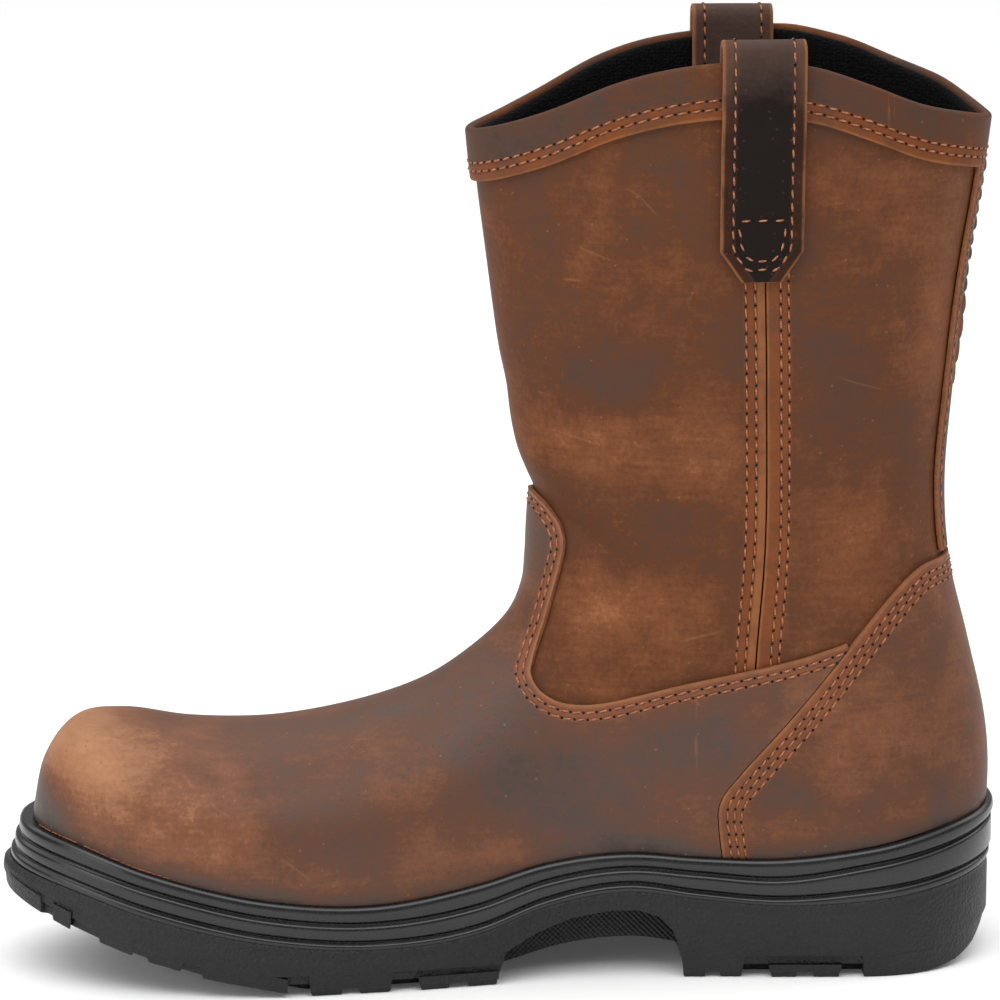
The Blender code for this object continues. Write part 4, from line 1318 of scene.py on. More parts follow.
def raw_edge_material():
    """Cut edge of the leather, lighter and fibrous."""
    material, shader, wire = new_material("raw_leather_edge")
    if shader is None:
        return material
    colours = bpy.context.scene.boot_colours
    place = object_place(wire)
    fibre = noise(wire, place, 900.0, 4.0, 0.7)
    patch = noise(wire, place, 110.0, 3.0)
    base = fibre.band(0.3, 0.7).mix(colour(colours.leather_seam), colour(colours.leather_raw))
    base = (patch.band(0.45, 0.7) * 0.5).mix(base, colour(colours.leather_brown))
    wire.feed(shader.inputs["Base Color"], base)
    wire.feed(shader.inputs["Roughness"], 0.72 + fibre * 0.15)
    wire.feed(shader.inputs["Normal"], bump(wire, fibre, 0.5, 0.0003))
    return material


def thread_material():
    """Waxed thread, twisted, with darker patches of wear."""
    material, shader, wire = new_material("seam_thread")
    if shader is None:
        return material
    colours = bpy.context.scene.boot_colours
    place = object_place(wire)
    twist = noise(wire, place, 1600.0, 2.0)
    wear = noise(wire, place, 160.0, 3.0)
    base = twist.band(0.3, 0.7).mix(colour(colours.thread_dark), colour(colours.thread))
    base = (wear.band(0.5, 0.72) * 0.4).mix(base, colour(colours.thread_dark))
    wire.feed(shader.inputs["Base Color"], base)
    wire.feed(shader.inputs["Roughness"], 0.55 + wear * 0.2)
    wire.feed(shader.inputs["Normal"], bump(wire, twist, 0.5, 0.0002))
    return material


def hole_material():
    """Painted shade of a needle hole: a dark disc stands in for the shade inside the hole."""
    material, shader, wire = new_material("needle_hole")
    if shader is None:
        return material
    colours = bpy.context.scene.boot_colours
    fibre = noise(wire, object_place(wire), 1500.0, 2.0)
    oiled = colours.leather_oiled
    base = fibre.band(0.35, 0.75).mix(colour(oiled, 0.12), colour(oiled, 0.5))
    wire.feed(shader.inputs["Base Color"], base)
    wire.feed(shader.inputs["Roughness"], 0.8 + fibre * 0.1)
    shader.inputs["Specular IOR Level"].default_value = 0.05
    return material


def rubber_material(name, roughness, pebble):
    """Black moulded rubber with dust, and a pebbled skin where it is asked for."""
    material, shader, wire = new_material(name)
    if shader is None:
        return material
    colours = bpy.context.scene.boot_colours
    place = object_place(wire)
    cells = wire.node("ShaderNodeTexVoronoi", {"feature": "SMOOTH_F1"},
                      {"Vector": place, "Scale": 850.0, "Smoothness": 0.5}, "Distance")
    grain = noise(wire, place, 1400.0, 3.0, 0.6)
    dust = noise(wire, place, 60.0, 5.0, 0.65)
    base = (dust.band(0.42, 0.72) * 0.4).mix(colour(colours.rubber), colour(colours.rubber_dusty))
    base = (grain.band(0.5, 0.75) * (0.15 + 0.5 * pebble)).mix(base, colour(colours.rubber_dusty))
    wire.feed(shader.inputs["Base Color"], base)
    wire.feed(shader.inputs["Roughness"], roughness + (dust - 0.5) * 0.2 + (grain - 0.5) * 0.1)
    shader.inputs["Specular IOR Level"].default_value = 0.56 - 0.14 * pebble
    relief = cells * pebble + grain * (0.15 + 0.5 * pebble) + dust * 0.3
    wire.feed(shader.inputs["Normal"], bump(wire, relief, 0.15 + 0.8 * pebble, 0.0008))
    return material


def knurl_material():
    """Black rubber with a fine diagonal mesh of knobs."""
    material, shader, wire = new_material("shank_rubber_knurled")
    if shader is None:
        return material
    colours = bpy.context.scene.boot_colours
    x, z = side_view(wire)
    turns = 2.0 * math.pi / (KNURL_PITCH * MM)
    knobs = wire.math("SINE", x * turns) * wire.math("SINE", z * turns)
    grain = noise(wire, object_place(wire), 1200.0, 3.0)
    share = knobs.band(-0.2, 0.8) * (0.4 + grain * 0.6)
    base = share.mix(colour(colours.rubber), colour(colours.rubber_dusty))
    wire.feed(shader.inputs["Base Color"], base)
    wire.feed(shader.inputs["Roughness"], 0.45 + grain * 0.2)
    relief = knobs * 0.5 + grain * 0.3
    wire.feed(shader.inputs["Normal"], bump(wire, relief, 0.9, 0.0007))
    return material


def fabric_material(name, scale):
    """Dark spacer fabric with small loops."""
    material, shader, wire = new_material(name)
    if shader is None:
        return material
    colours = bpy.context.scene.boot_colours
    place = object_place(wire)
    loops = wire.node("ShaderNodeTexVoronoi", {"feature": "F1"},
                      {"Vector": place, "Scale": scale, "Randomness": 0.6}, "Distance")
    fuzz = noise(wire, place, 1500.0, 3.0)
    base = loops.band(0.15, 0.55).mix(colour(colours.lining_light), colour(colours.lining))
    base = (fuzz.band(0.55, 0.75) * 0.4).mix(base, colour(colours.lining_light))
    wire.feed(shader.inputs["Base Color"], base)
    wire.feed(shader.inputs["Roughness"], 0.85 + fuzz * 0.1)
    shader.inputs["Specular IOR Level"].default_value = 0.12
    wire.feed(shader.inputs["Normal"], bump(wire, fuzz * 0.4 - loops, 0.8, 0.0006))
    return material


def floor_material():
    """Pale, even studio floor."""
    material, shader, wire = new_material("studio_floor")
    if shader is None:
        return material
    colours = bpy.context.scene.boot_colours
    paper = noise(wire, object_place(wire), 40.0, 4.0)
    base = paper.mix(colour(colours.floor, 0.985), colour(colours.floor))
    wire.feed(shader.inputs["Base Color"], base)
    wire.feed(shader.inputs["Emission Color"], base)
    shader.inputs["Emission Strength"].default_value = FLOOR_GLOW
    shader.inputs["Roughness"].default_value = 0.85
    return material


def ring_solid(rings):
    """Closed solid through rings of points, capped at its first and last ring."""
    points = np.concatenate([rings, rings[:, :1]], axis=1)
    work = grid_sheet(points)
    bmesh.ops.remove_doubles(work, verts=work.verts, dist=MERGE)
    bmesh.ops.holes_fill(work, edges=[e for e in work.edges if e.is_boundary], sides=0)
    bmesh.ops.triangulate(work, faces=[f for f in work.faces if len(f.verts) > 4])
    bmesh.ops.recalc_face_normals(work, faces=work.faces)
    return work


def lug_plan(back, front, set_in, side, reach=LUG_REACH):
    """Outline of a side lug between two stations."""
    inset = stepped_inset("outsole", set_in)
    xs = np.linspace(back, front, LUG_STEPS + 1)
    plan = list(zip(xs, side_of(xs, inset, side)))
    for x in (front - LUG_TAPER, back + LUG_TAPER):
        plan.append((x, float(side_of(x, inset, side)) - side * reach))
    return plan


def end_lug_edges(row, side):
    """Outer and inner edge of the half block around an end, from its start to the tip."""
    start, end, reach, gap, steps, notches = row
    outer = []
    inner = []
    for i in range(steps + 1):
        share = math.sin(0.5 * math.pi * i / steps)
        cut = NOTCH_DEPTH if i in notches else 0.0
        inset = stepped_inset("outsole", END_LUG_SET_IN + cut)
        x = start + share * (ends_of(inset)[end] - start)
        outer.append((x, float(side_of(x, inset, side)) + side * gap))
        if i % 2 == 0:
            inset = stepped_inset("outsole", reach)
            x = start + share * (ends_of(inset)[end] - start)
            inner.append((x, float(side_of(x, inset, side)) + side * gap))
    return outer, inner


def toe_lug_plan(side):
    """Half of the bumper around the toe."""
    outer, inner = end_lug_edges(TOE_LUG, side)
    return outer + inner[::-1]


def heel_lug_plan():
    """Block around the back of the heel."""
    outer, inner = end_lug_edges(HEEL_LUG, 1.0)
    far_outer, far_inner = end_lug_edges(HEEL_LUG, -1.0)
    return outer + far_outer[-2::-1] + far_inner + inner[-2::-1]


def centre_plan(row):
    """Chevron outline of a centre lug."""
    back, front, half, sweep = row
    mid = 0.5 * (back + front)
    y = 0.5 * float(sole_line("inner", mid) + sole_line("outer", mid))
    return [(back, y - half), (back + sweep, y), (back, y + half),
            (front - sweep, y + half), (front, y), (front - sweep, y - half)]


def add_block(work, plan, high, low, draft=LUG_DRAFT):
    """Drafted block with rounded lower edges between two heights over its plan."""
    mid = np.mean(plan, axis=0)
    top = [work.verts.new((x * MM, y * MM, float(high(x)) * MM)) for x, y in plan]
    face = work.faces.new(top)
    made = bmesh.ops.extrude_face_region(work, geom=[face])["geom"]
    bottom = [item for item in made if isinstance(item, bmesh.types.BMVert)]
    for vert in bottom:
        away = np.array(vert.co[:2]) / MM - mid
        x, y = mid + away * (1.0 - draft / np.linalg.norm(away))
        vert.co = (x * MM, y * MM, float(low(x)) * MM)
    faces = {face for vert in top + bottom for face in vert.link_faces}
    bmesh.ops.recalc_face_normals(work, faces=list(faces))
    lower = [item for item in made if isinstance(item, bmesh.types.BMEdge)]
    bmesh.ops.bevel(work, geom=lower, offset=LUG_ROUND * MM, segments=2, profile=0.5,
                    affect="EDGES", material=-1, clamp_overlap=True)


def add_web(work, back, front, side, high):
    """Web behind a gap, lapping into the lugs beside it."""
    plan = lug_plan(back - WEB_LAP, front + WEB_LAP, WEB_SET_IN, side, WEB_REACH)
    add_block(work, plan, high, lambda x: tread_floor(x) + WEB_RISE, LEDGE_DRAFT)


def add_side_lug(work, row, side):
    """Side lug: a block under the wall, an outer ledge and two pads beside a groove."""
    back, front, groove, ledge = row

    def floor(x):
        return tread_floor(x) + (GROOVE_DEPTH if groove else 0.0)

    set_in = LEDGE_SET_IN if ledge else LUG_SET_IN
    add_block(work, lug_plan(back, front, set_in, side), lug_top, floor)
    if ledge:
        plan = lug_plan(back, front, LEDGE_OUT, side)
        add_block(work, plan, lambda x: tread_floor(x) + ledge, floor, LEDGE_DRAFT)
    if groove:
        mid = 0.5 * (back + front)
        trim_in = LEDGE_DRAFT + PAD_LEDGE_TRIM if ledge else PAD_TRIM_SHARE * LUG_DRAFT
        set_in = (LEDGE_OUT if ledge else LUG_SET_IN) + trim_in
        for ends in ((back + trim_in, mid - 0.5 * groove), (mid + 0.5 * groove, front - trim_in)):
            plan = lug_plan(ends[0], ends[1], set_in, side)
            add_block(work, plan, lambda x: tread_floor(x) + GROOVE_DEPTH + PAD_LAP, tread_floor,
                      PAD_DRAFT)
        add_web(work, mid - 0.5 * groove, mid + 0.5 * groove, side, lambda x: floor(x) + PAD_LAP)


def make_outsole():
    heights = {"split": lambda x: sole_line("split", x), "base": wall_base,
               "strip": strip_floor}
    rings = []
    for name, step, line, rise in WALL_PROFILE:
        inset = stepped_inset(name, step)
        rings.append(outline_ring(inset, lambda x, k=line, r=rise: heights[k](x) + r))
    work = ring_solid(np.array(rings))
    for row in CENTRE_ROWS:
        add_block(work, centre_plan(row), lug_top, tread_floor)
    for plan in (toe_lug_plan(1.0), toe_lug_plan(-1.0), heel_lug_plan()):
        add_block(work, plan, lug_top, tread_floor, END_LUG_DRAFT)
    for side in (1.0, -1.0):
        for row in LUG_ROWS:
            add_side_lug(work, row, side)
        backs = [row[0] for row in LUG_ROWS] + [TOE_LUG[0]]
        fronts = [HEEL_LUG[0]] + [row[1] for row in LUG_ROWS]
        for front, back in zip(fronts, backs):
            if ARCH_FROM - 1.0 < front < ARCH_TO or front > WEB_LAST:
                continue
            add_web(work, front, back, side, lug_top)
    for vert in work.verts:
        vert.co.z = max(vert.co.z, 0.0)
    bmesh.ops.triangulate(work, faces=[face for face in work.faces if len(face.verts) > 4])
    paint = rubber_material("outsole_rubber_pebbled", 0.52, 0.8)
    piece = new_piece("outsole_tread", work, [paint], 28.0)
    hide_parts("outsole")


def make_shank():
    """Knurled block that fills the arch between heel and forefoot."""
    xs = np.linspace(SHANK["x"][0], SHANK["x"][-1], SHANK_STEPS + 1)
    low = np.minimum(smooth(SHANK["x"], SHANK["floor"], xs), wall_base(xs) - SHANK_LEAST)
    high = lug_top(xs)
    rings = []
    for share in np.linspace(1.0, 0.0, SHANK_RISES + 1):
        z = low + (high - low) * share
        inner, outer = side_lines(xs, INSETS["shank"], z)
        rings.append(np.concatenate([inner, outer[::-1]]))
    work = ring_solid(np.array(rings))
    piece = new_piece("arch_shank", work, [knurl_material()], 40.0)


def make_midsole():
    rings = []
    for name, step, line, rise in BAND_ROWS:
        inset = stepped_inset(name, step)
        rings.append(outline_ring(inset, lambda x, k=line, r=rise: sole_line(k, x) + r))
    work = ring_solid(np.array(rings))
    piece = new_piece("midsole_bands", work, [rubber_material("midsole_rubber_satin", 0.27, 0.0)])
    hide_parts("midsole")


def make_footbed():
    rings = []
    for step, rise in FOOTBED_ROWS:
        inset = stepped_inset("insole", step)
        rings.append(outline_ring(inset, lambda x, r=rise: sole_line("feather", x) + r))
    piece = new_piece("footbed", ring_solid(np.array(rings)), [fabric_material("footbed_felt", 700.0)])
    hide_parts("insole")


def leather_panel(name, work, rows, lifts, node, paint):
    """Finishes a trimmed sheet as a leather panel with stitch rows along its edge."""
    edge = measure_edge(work)
    store(work, "tone", tone_of(point_array(work)))
    lines = []
    for offset in rows:
        lines.extend(level_lines(work, edge, offset))
    piece = new_piece(name, work, [paint, raw_edge_material()])
    thicken(piece, lifts[0], lifts[1], 1)
    if node is not None:
        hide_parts(node)
    stitch_rows(name, lines, lifts[1])
    return piece


def overlay_lifts():
    sizes = bpy.context.scene.boot_sizes
    return sizes.overlay_gap / MM, (sizes.overlay_gap + sizes.overlay_thick) / MM


def make_vamp():
    work = skin_sheet(*VAMP_PLACES)
    trim(work, above_welt)
    trim(work, lambda p: -VAMP_CLEAR - inside_depth(p, counter_outline()))
    trim(work, lambda p: inside_depth(p, vamp_outline()), raw=True)
    paint = leather_material("vamp_leather", VAMP_STITCH_ROWS, uneven=1.15, gloss=0.33)
    leather_panel("vamp_panel", work, VAMP_STITCH_ROWS, overlay_lifts(), "vamp", paint)


def make_counter():
    work = skin_sheet(*COUNTER_PLACES)
    trim(work, above_welt)
    trim(work, lambda p: inside_depth(p, counter_outline()), raw=True)
    paint = leather_material("counter_leather", COUNTER_STITCH_ROWS, uneven=1.1, gloss=0.24)
    leather_panel("heel_counter_panel", work, COUNTER_STITCH_ROWS, overlay_lifts(),
                  "heel_counter", paint)


def make_shaft():
    sizes = bpy.context.scene.boot_sizes
    tuck = sizes.tuck / MM
    half_gap = 0.5 * sizes.seam_gap / MM
    # The front panel's wide lip band is partly a painted highlight where its seam edge catches the
    # light
    for name, side, node, rows, gloss, lip in (
            ("shaft_front_panel", 1.0, "upper", SEAM_FRONT_STITCH_ROWS, 0.06, 2.4),
            ("shaft_back_panel", -1.0, None, SEAM_BACK_STITCH_ROWS, 0.08, 0.6)):
        paint = leather_material(name + "_leather", rows, gloss=gloss, lip=lip)
        work = skin_sheet(SHAFT_PLACE, LAST_PLACE)
        trim(work, lambda p: tuck - inside_depth(p, vamp_outline()))
        trim(work, lambda p: tuck - inside_depth(p, counter_outline()))
        trim(work, lambda p: rim_height(p) - PANEL_DROP - p[:, 2])
        trim(work, lambda p: side * (p[:, 0] - seam_place(p[:, 2])) - half_gap, raw=True)
        lifts = (-sizes.shaft_thick / MM, 0.0)
        leather_panel(name, work, rows, lifts, node, paint)


def make_backstay():
    work = skin_sheet(BACK_PLACE, LAST_PLACE)
    trim(work, lambda p: np.minimum(p[:, 2] - BACKSTAY_LOW, BACKSTAY_HIGH - p[:, 2]))
    trim(work, lambda p: np.where(p[:, 0] < BACKSTAY_BEHIND, BACKSTAY_HALF - np.abs(p[:, 1]),
                                  BACKSTAY_AWAY), raw=True)
    paint = leather_material("backstay_leather", BACKSTAY_STITCH_ROWS, 0.16, 0.30)
    leather_panel("backstay_strip", work, BACKSTAY_STITCH_ROWS, overlay_lifts(),
                  "backstay", paint)


def make_relief():
    """Raised pads down the middle of the backstay, dark above and light below."""
    tree = skin_tree()
    lift = overlay_lifts()[1]
    dark = leather_material("relief_leather_dark", BACKSTAY_STITCH_ROWS, 0.36, 0.0)
    light = leather_material("relief_leather_light", BACKSTAY_STITCH_ROWS, -0.04, 0.0)
    for name, rows, paint in (("backstay_relief_upper", RELIEF_DARK_ROWS, dark),
                              ("backstay_relief_lower", RELIEF_LIGHT_ROWS, light)):
        work = bmesh.new()
        for z, half_length, half_width, rise in rows:
            start = Vector((RELIEF_RAY_X * MM, 0.0, z * MM))
            hit = tree.ray_cast(start, Vector((-1.0, 0.0, 0.0)))[0]
            made = bmesh.ops.create_uvsphere(work, u_segments=14, v_segments=8, radius=1.0)
            for vert in made["verts"]:
                x, y, up = vert.co
                droop = RELIEF_DROOP * (y * half_width) ** 2
                off = x * (rise + RELIEF_SINK) - lift + RELIEF_SINK + droop
                vert.co = (hit.x + off * MM, y * half_width * MM, (z + up * half_length) * MM)
        bmesh.ops.recalc_face_normals(work, faces=work.faces)
        store(work, "edge", np.full(len(work.verts), RELIEF_EDGE))
        piece = new_piece(name, work, [paint], 60.0)


def make_lining():
    sizes = bpy.context.scene.boot_sizes
    work = skin_sheet(0, LAST_PLACE, per_section=COARSE_ROWS, per_side=COARSE_COLUMNS)
    trim(work, above_welt)
    trim(work, lambda p: rim_height(p) - LINING_DROP - p[:, 2])
    piece = new_piece("shaft_lining", work, [fabric_material("lining_mesh", 900.0)])
    outside = -sizes.shaft_thick / MM - 0.05
    thicken(piece, outside - sizes.lining_thick / MM, outside, 0, 0.0)


def collar_points(offsets, lifts):
    """Points around the collar at offsets from the rim and lifts off the surface."""
    points, normals = skin_points(COLLAR_PLACE, LAST_PLACE, COLLAR_ROWS, COLUMNS_PER_SIDE)
    height = points[..., 2] - rim_height(points)
    made = np.zeros((len(offsets), points.shape[1], 3))
    facing = np.zeros_like(made)
    for j in range(points.shape[1]):
        for i in range(3):
            made[:, j, i] = np.interp(offsets, height[:, j], points[:, j, i])
            facing[:, j, i] = np.interp(offsets, height[:, j], normals[:, j, i])
    return made + facing * np.asarray(lifts)[:, None, None], facing


def collar_profile():
    """Folded section of the collar band, as offsets from the rim and lifts."""
    low = BAND_RISE - BAND_DEPTH
    gap, outside = overlay_lifts()
    middle = 0.5 * (outside + FOLD_INSIDE)
    radius = 0.5 * (outside - FOLD_INSIDE)
    start = BAND_RISE - radius
    rows = [(low, gap)]
    rows.extend((low + up, outside - back) for up, back in BAND_LIP_ROWS)
    for offset in np.linspace(low + BAND_FACE_FROM, start - BAND_FACE_TO, BAND_FACE_STEPS):
        rows.append((offset, outside))
    for angle in np.linspace(0.0, math.pi, FOLD_STEPS + 1):
        rows.append((start + radius * math.sin(angle), middle + radius * math.cos(angle)))
    rows.extend([(-FOLD_RETURN, FOLD_INSIDE), (-FOLD_RETURN, FOLD_INSIDE + FOLD_THICK),
                 (start, gap), (low, gap)])
    return np.array(rows)


def make_collar():
    pad = np.array(PAD_ROWS + PAD_ROWS[:1])
    work = grid_sheet(collar_points(pad[:, 0], pad[:, 1])[0])
    close_up(work)
    piece = new_piece("collar_lining", work, [fabric_material("lining_mesh", 900.0)])
    profile = collar_profile()
    points = collar_points(profile[:, 0], profile[:, 1])[0]
    work = grid_sheet(points)
    close_up(work)
    low = BAND_RISE - BAND_DEPTH
    edge = work.verts.layers.float.new("edge")
    places = point_array(work)
    heights = places[:, 2] - rim_height(places)
    for vert, height in zip(work.verts, heights):
        vert[edge] = max(height - low, 0.0)
    store(work, "tone", tone_of(places))
    paint = leather_material("collar_leather", BAND_STITCH_ROWS, 0.12, uneven=1.2, gloss=0.05)
    piece = new_piece("collar_roll", work, [paint], 60.0)
    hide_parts("collar_band")
    lift = overlay_lifts()[1]
    lines = []
    for offset in BAND_STITCH_ROWS:
        row, facing = collar_points([low + offset], [lift])
        lines.append([(p * MM, n) for p, n in zip(row[0], facing[0])])
    stitch_rows("collar_roll", lines, 0.0)


def skin_tree():
    work = skin_sheet(BACK_PLACE, LAST_PLACE, per_section=COARSE_ROWS)
    tree = BVHTree.FromBMesh(work)
    work.free()
    return tree


def beside(tree, x, z, side, stand_off):
    """Point off the shaft's side at x and z, stand_off outward from its wall."""
    start = Vector((x * MM, side * STRAP_RAY_Y * MM, z * MM))
    hit = tree.ray_cast(start, Vector((0.0, -side, 0.0)))[0]
    return np.array((x, hit.y / MM + side * stand_off, z))


def strap_stops(lift):
    """Height, stand-off and half width along the folded loop of a strap."""
    stops = list(STRAP_OUT_ROWS)
    start_z, out = STRAP_OUT_ROWS[-1]
    inside = STRAP_IN_ROWS[0][1]
    for i in range(1, STRAP_ARCH_STEPS):
        angle = math.pi * i / STRAP_ARCH_STEPS
        share = 0.5 + 0.5 * math.cos(angle)
        rise = (STRAP_TOP_Z - start_z) * math.sin(angle) ** STRAP_ARCH_POWER
        stops.append((start_z + rise, inside + (out - inside) * share))
    stops.extend(STRAP_IN_ROWS)
    cells = np.array(stops, float)
    knots = np.arange(len(stops), dtype=float)
    at = np.linspace(0.0, len(stops) - 1.0, (len(stops) - 1) * STRAP_REFINE + 1)
    z = smooth(knots, cells[:, 0], at)
    z = z + lift * np.clip((z - STRAP_LIFT_FROM) / STRAP_LIFT_RUN, 0.0, 1.0)
    stand_off = smooth(knots, cells[:, 1], at)
    low = STRAP_OUT_ROWS[0][0]
    share = np.clip((z - low) / (STRAP_TAPER_Z - low), 0.0, 1.0)
    outside = at < len(STRAP_OUT_ROWS)
    half = np.where(outside, STRAP_END_HALF + (STRAP_HALF - STRAP_END_HALF) * share, STRAP_HALF)
    return z, stand_off, half


def strap_lines(tree, side, mid_x, lift):
    """Stitch lines on the outer leg of a strap, over its fold and down the inner leg."""
    half = 0.5 * bpy.context.scene.boot_sizes.strap_thick / MM
    rows = table_columns(STRAP_COLUMNS, STRAP_OUT_ROWS)
    lines = []
    for table in STRAP_STITCH_LINES:
        cells = np.array(table, float)
        length = lengths_along(cells)
        at = np.linspace(0.0, length[-1], int(length[-1]) + 2)
        line = []
        for aside, z in zip(np.interp(at, length, cells[:, 0]), np.interp(at, length, cells[:, 1])):
            off = np.interp(z, rows["z"], rows["stand_off"]) + half
            point = beside(tree, mid_x + aside, z, side, off)
            line.append((point * MM, np.array((0.0, side, 0.0))))
        lines.append(line)
    path_z, path_off = strap_stops(lift)[:2]
    rise = np.gradient(path_z)
    out = np.gradient(path_off)
    run = np.hypot(rise, out)
    first = int(np.argmax(path_z > STRAP_OUT_ROWS[-1][0] + 1.0))
    for aside in (STRAP_STITCH_ASIDE, -STRAP_STITCH_ASIDE):
        line = []
        for i in range(first, len(path_z)):
            away = rise[i] / run[i]
            up = -out[i] / run[i]
            point = beside(tree, mid_x + aside, path_z[i] + up * half, side, path_off[i] + away * half)
            line.append((point * MM, np.array((0.0, side * away, up))))
        lines.append(line)
    return lines


def make_straps():
    sizes = bpy.context.scene.boot_sizes
    tree = skin_tree()
    paint = leather_material("strap_leather_dark", STRAP_STITCH_ROWS, 0.20, 0.15, 1.0, 0.30, 0.05)
    shares = np.linspace(-1.0, 1.0, STRAP_ACROSS + 1)
    tones = table_columns(STRAP_TONE_COLUMNS, STRAP_TONE_ROWS)
    for name, side, mid_x, lift, node in (
            ("strap_inner_side", 1.0, STRAP_INNER_X, 0.0, "pull_strap_inner"),
            ("strap_outer_side", -1.0, STRAP_OUTER_X, STRAP_OUTER_LIFT, "pull_strap_outer")):
        z, stand_off, half = strap_stops(lift)
        points = np.zeros((len(z), len(shares), 3))
        for i in range(len(z)):
            for j, share in enumerate(shares):
                points[i, j] = beside(tree, mid_x + share * half[i], z[i], side, stand_off[i])
        work = grid_sheet(points)
        bmesh.ops.recalc_face_normals(work, faces=work.faces)
        places = point_array(work)
        from_side = np.interp(places[:, 2], (STRAP_OUT_ROWS[0][0], STRAP_TAPER_Z),
                              (STRAP_END_HALF, STRAP_HALF))
        store(work, "edge", np.maximum(from_side - np.abs(places[:, 0] - mid_x), 0.0))
        rim = (np.abs(places[:, 0] - mid_x) / STRAP_HALF) ** 4
        tone = np.interp(places[:, 2], tones["z"], tones["tone"]) + STRAP_SIDE_TONE * rim
        inside = np.abs(places[:, 1]) < STRAP_INSIDE_Y
        store(work, "tone", np.where(inside, STRAP_INSIDE_TONE, tone))
        piece = new_piece(name, work, [paint, raw_edge_material()])
        half_thick = 0.5 * sizes.strap_thick / MM
        thicken(piece, -half_thick, half_thick, 1, 0.5)
        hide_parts(node)
        stitch_rows(name, strap_lines(tree, side, mid_x, lift), 0.0)


def make_flecks():
    """Small loose ends of lasting thread along the welt at the toe."""
    random = np.random.default_rng(FLECK_SEED)
    toe_x = ends_of(INSETS["skin"])[0]
    places = []
    for share, side in zip(random.random(FLECK_COUNT), random.choice((-1.0, 1.0), FLECK_COUNT)):
        x = FLECK_FROM + (toe_x - FLECK_TIP - FLECK_FROM) * math.sqrt(share)
        ahead = []
        for step in FLECK_SPAN:
            at = x + step
            y = float(side_of(at, stepped_inset("skin", -FLECK_OUT), side))
            ahead.append(np.array((at, y, float(sole_line("feather", at)) + FLECK_RISE)))
        lean = random.normal(0.0, FLECK_SPREAD, 3)
        places.append((ahead[0] * MM, ahead[1] - ahead[0] + lean * FLECK_LEAN,
                       np.array((0.0, 0.0, 1.0))))
    fleck = bmesh.new()
    bmesh.ops.create_uvsphere(fleck, u_segments=5, v_segments=4, radius=FLECK_RADIUS)
    for vert in fleck.verts:
        vert.co = (vert.co.z * FLECK_LONG, vert.co.x, vert.co.y * FLECK_FLAT)
    bmesh.ops.recalc_face_normals(fleck, faces=fleck.faces)
    joined_copies("welt_flecks", fleck, places, 0.0, 0.0, raw_edge_material())


def make_stage():
    """Floor, lights and camera."""
    scene = bpy.context.scene
    floor = bmesh.new()
    bmesh.ops.create_grid(floor, x_segments=8, y_segments=8, size=FLOOR_HALF)
    mesh = bpy.data.meshes.new("studio_floor")
    floor.to_mesh(mesh)
    floor.free()
    mesh.materials.append(floor_material())
    ground = bpy.data.objects.new("studio_floor", mesh)
    scene.collection.objects.link(ground)
    for name, place, target, width, height, power in LIGHT_ROWS:
        lamp = bpy.data.lights.new(name, "AREA")
        lamp.shape = "RECTANGLE"
        lamp.size = width
        lamp.size_y = height
        lamp.energy = power
        light = bpy.data.objects.new(name, lamp)
        light.location = place
        aim = Vector(target) - Vector(place)
        light.rotation_euler = aim.to_track_quat("-Z", "Y").to_euler()
        scene.collection.objects.link(light)
    world = bpy.data.worlds.new("studio_world")
    world.use_nodes = True
    sky = world.node_tree.nodes["Background"]
    sky.inputs["Color"].default_value = (1.0, 1.0, 1.0, 1.0)
    sky.inputs["Strength"].default_value = WORLD_STRENGTH
    scene.world = world
    turn = math.radians(CAMERA_AZIMUTH)
    tilt = math.radians(CAMERA_ELEVATION)
    back = Vector((math.sin(turn) * math.cos(tilt), -math.cos(turn) * math.cos(tilt),
                   math.sin(tilt)))
    lens = bpy.data.cameras.new("photo_camera")
    lens.lens = CAMERA_LENS
    lens.sensor_width = CAMERA_SENSOR
    camera = bpy.data.objects.new("photo_camera", lens)
    camera.location = Vector(CAMERA_TARGET) + back * CAMERA_DISTANCE
    camera.rotation_euler = back.to_track_quat("Z", "Y").to_euler()
    scene.collection.objects.link(camera)
    scene.camera = camera
    scene.view_settings.view_transform = "Standard"


def length(name, description, default):
    return bpy.props.FloatProperty(name=name, description=description, default=default,
                                   min=0.0, precision=5, unit="LENGTH")


def tint(name, description, default):
    return bpy.props.FloatVectorProperty(name=name, description=description, default=default,
                                         size=3, min=0.0, max=1.0, subtype="COLOR")


class BootSizes(bpy.types.PropertyGroup):
    """Thicknesses of the leather and sizes of the seams."""

    shaft_thick: length("Shaft leather", "Thickness of the shaft's leather", 0.0015)
    lining_thick: length("Lining", "Thickness of the lining", 0.0006)
    overlay_thick: length("Overlay leather", "Thickness of vamp, counter and band", 0.0015)
    overlay_gap: length("Overlay gap", "Gap between the shaft and what lies on it", 0.00035)
    strap_thick: length("Strap", "Thickness of a folded pull strap", 0.0024)
    seam_gap: length("Side seam gap", "Width of the groove at the side seam", 0.0005)
    tuck: length("Tuck", "How far the shaft runs on under vamp and counter", 0.009)
    stitch_pitch: length("Stitch pitch", "Distance from one stitch to the next", 0.0041)
    stitch_length: length("Stitch length", "Length of thread that shows", 0.0031)
    thread_width: length("Thread", "Width of the thread", 0.00072)
    hole_width: length("Needle hole", "Width of a needle hole", 0.00090)


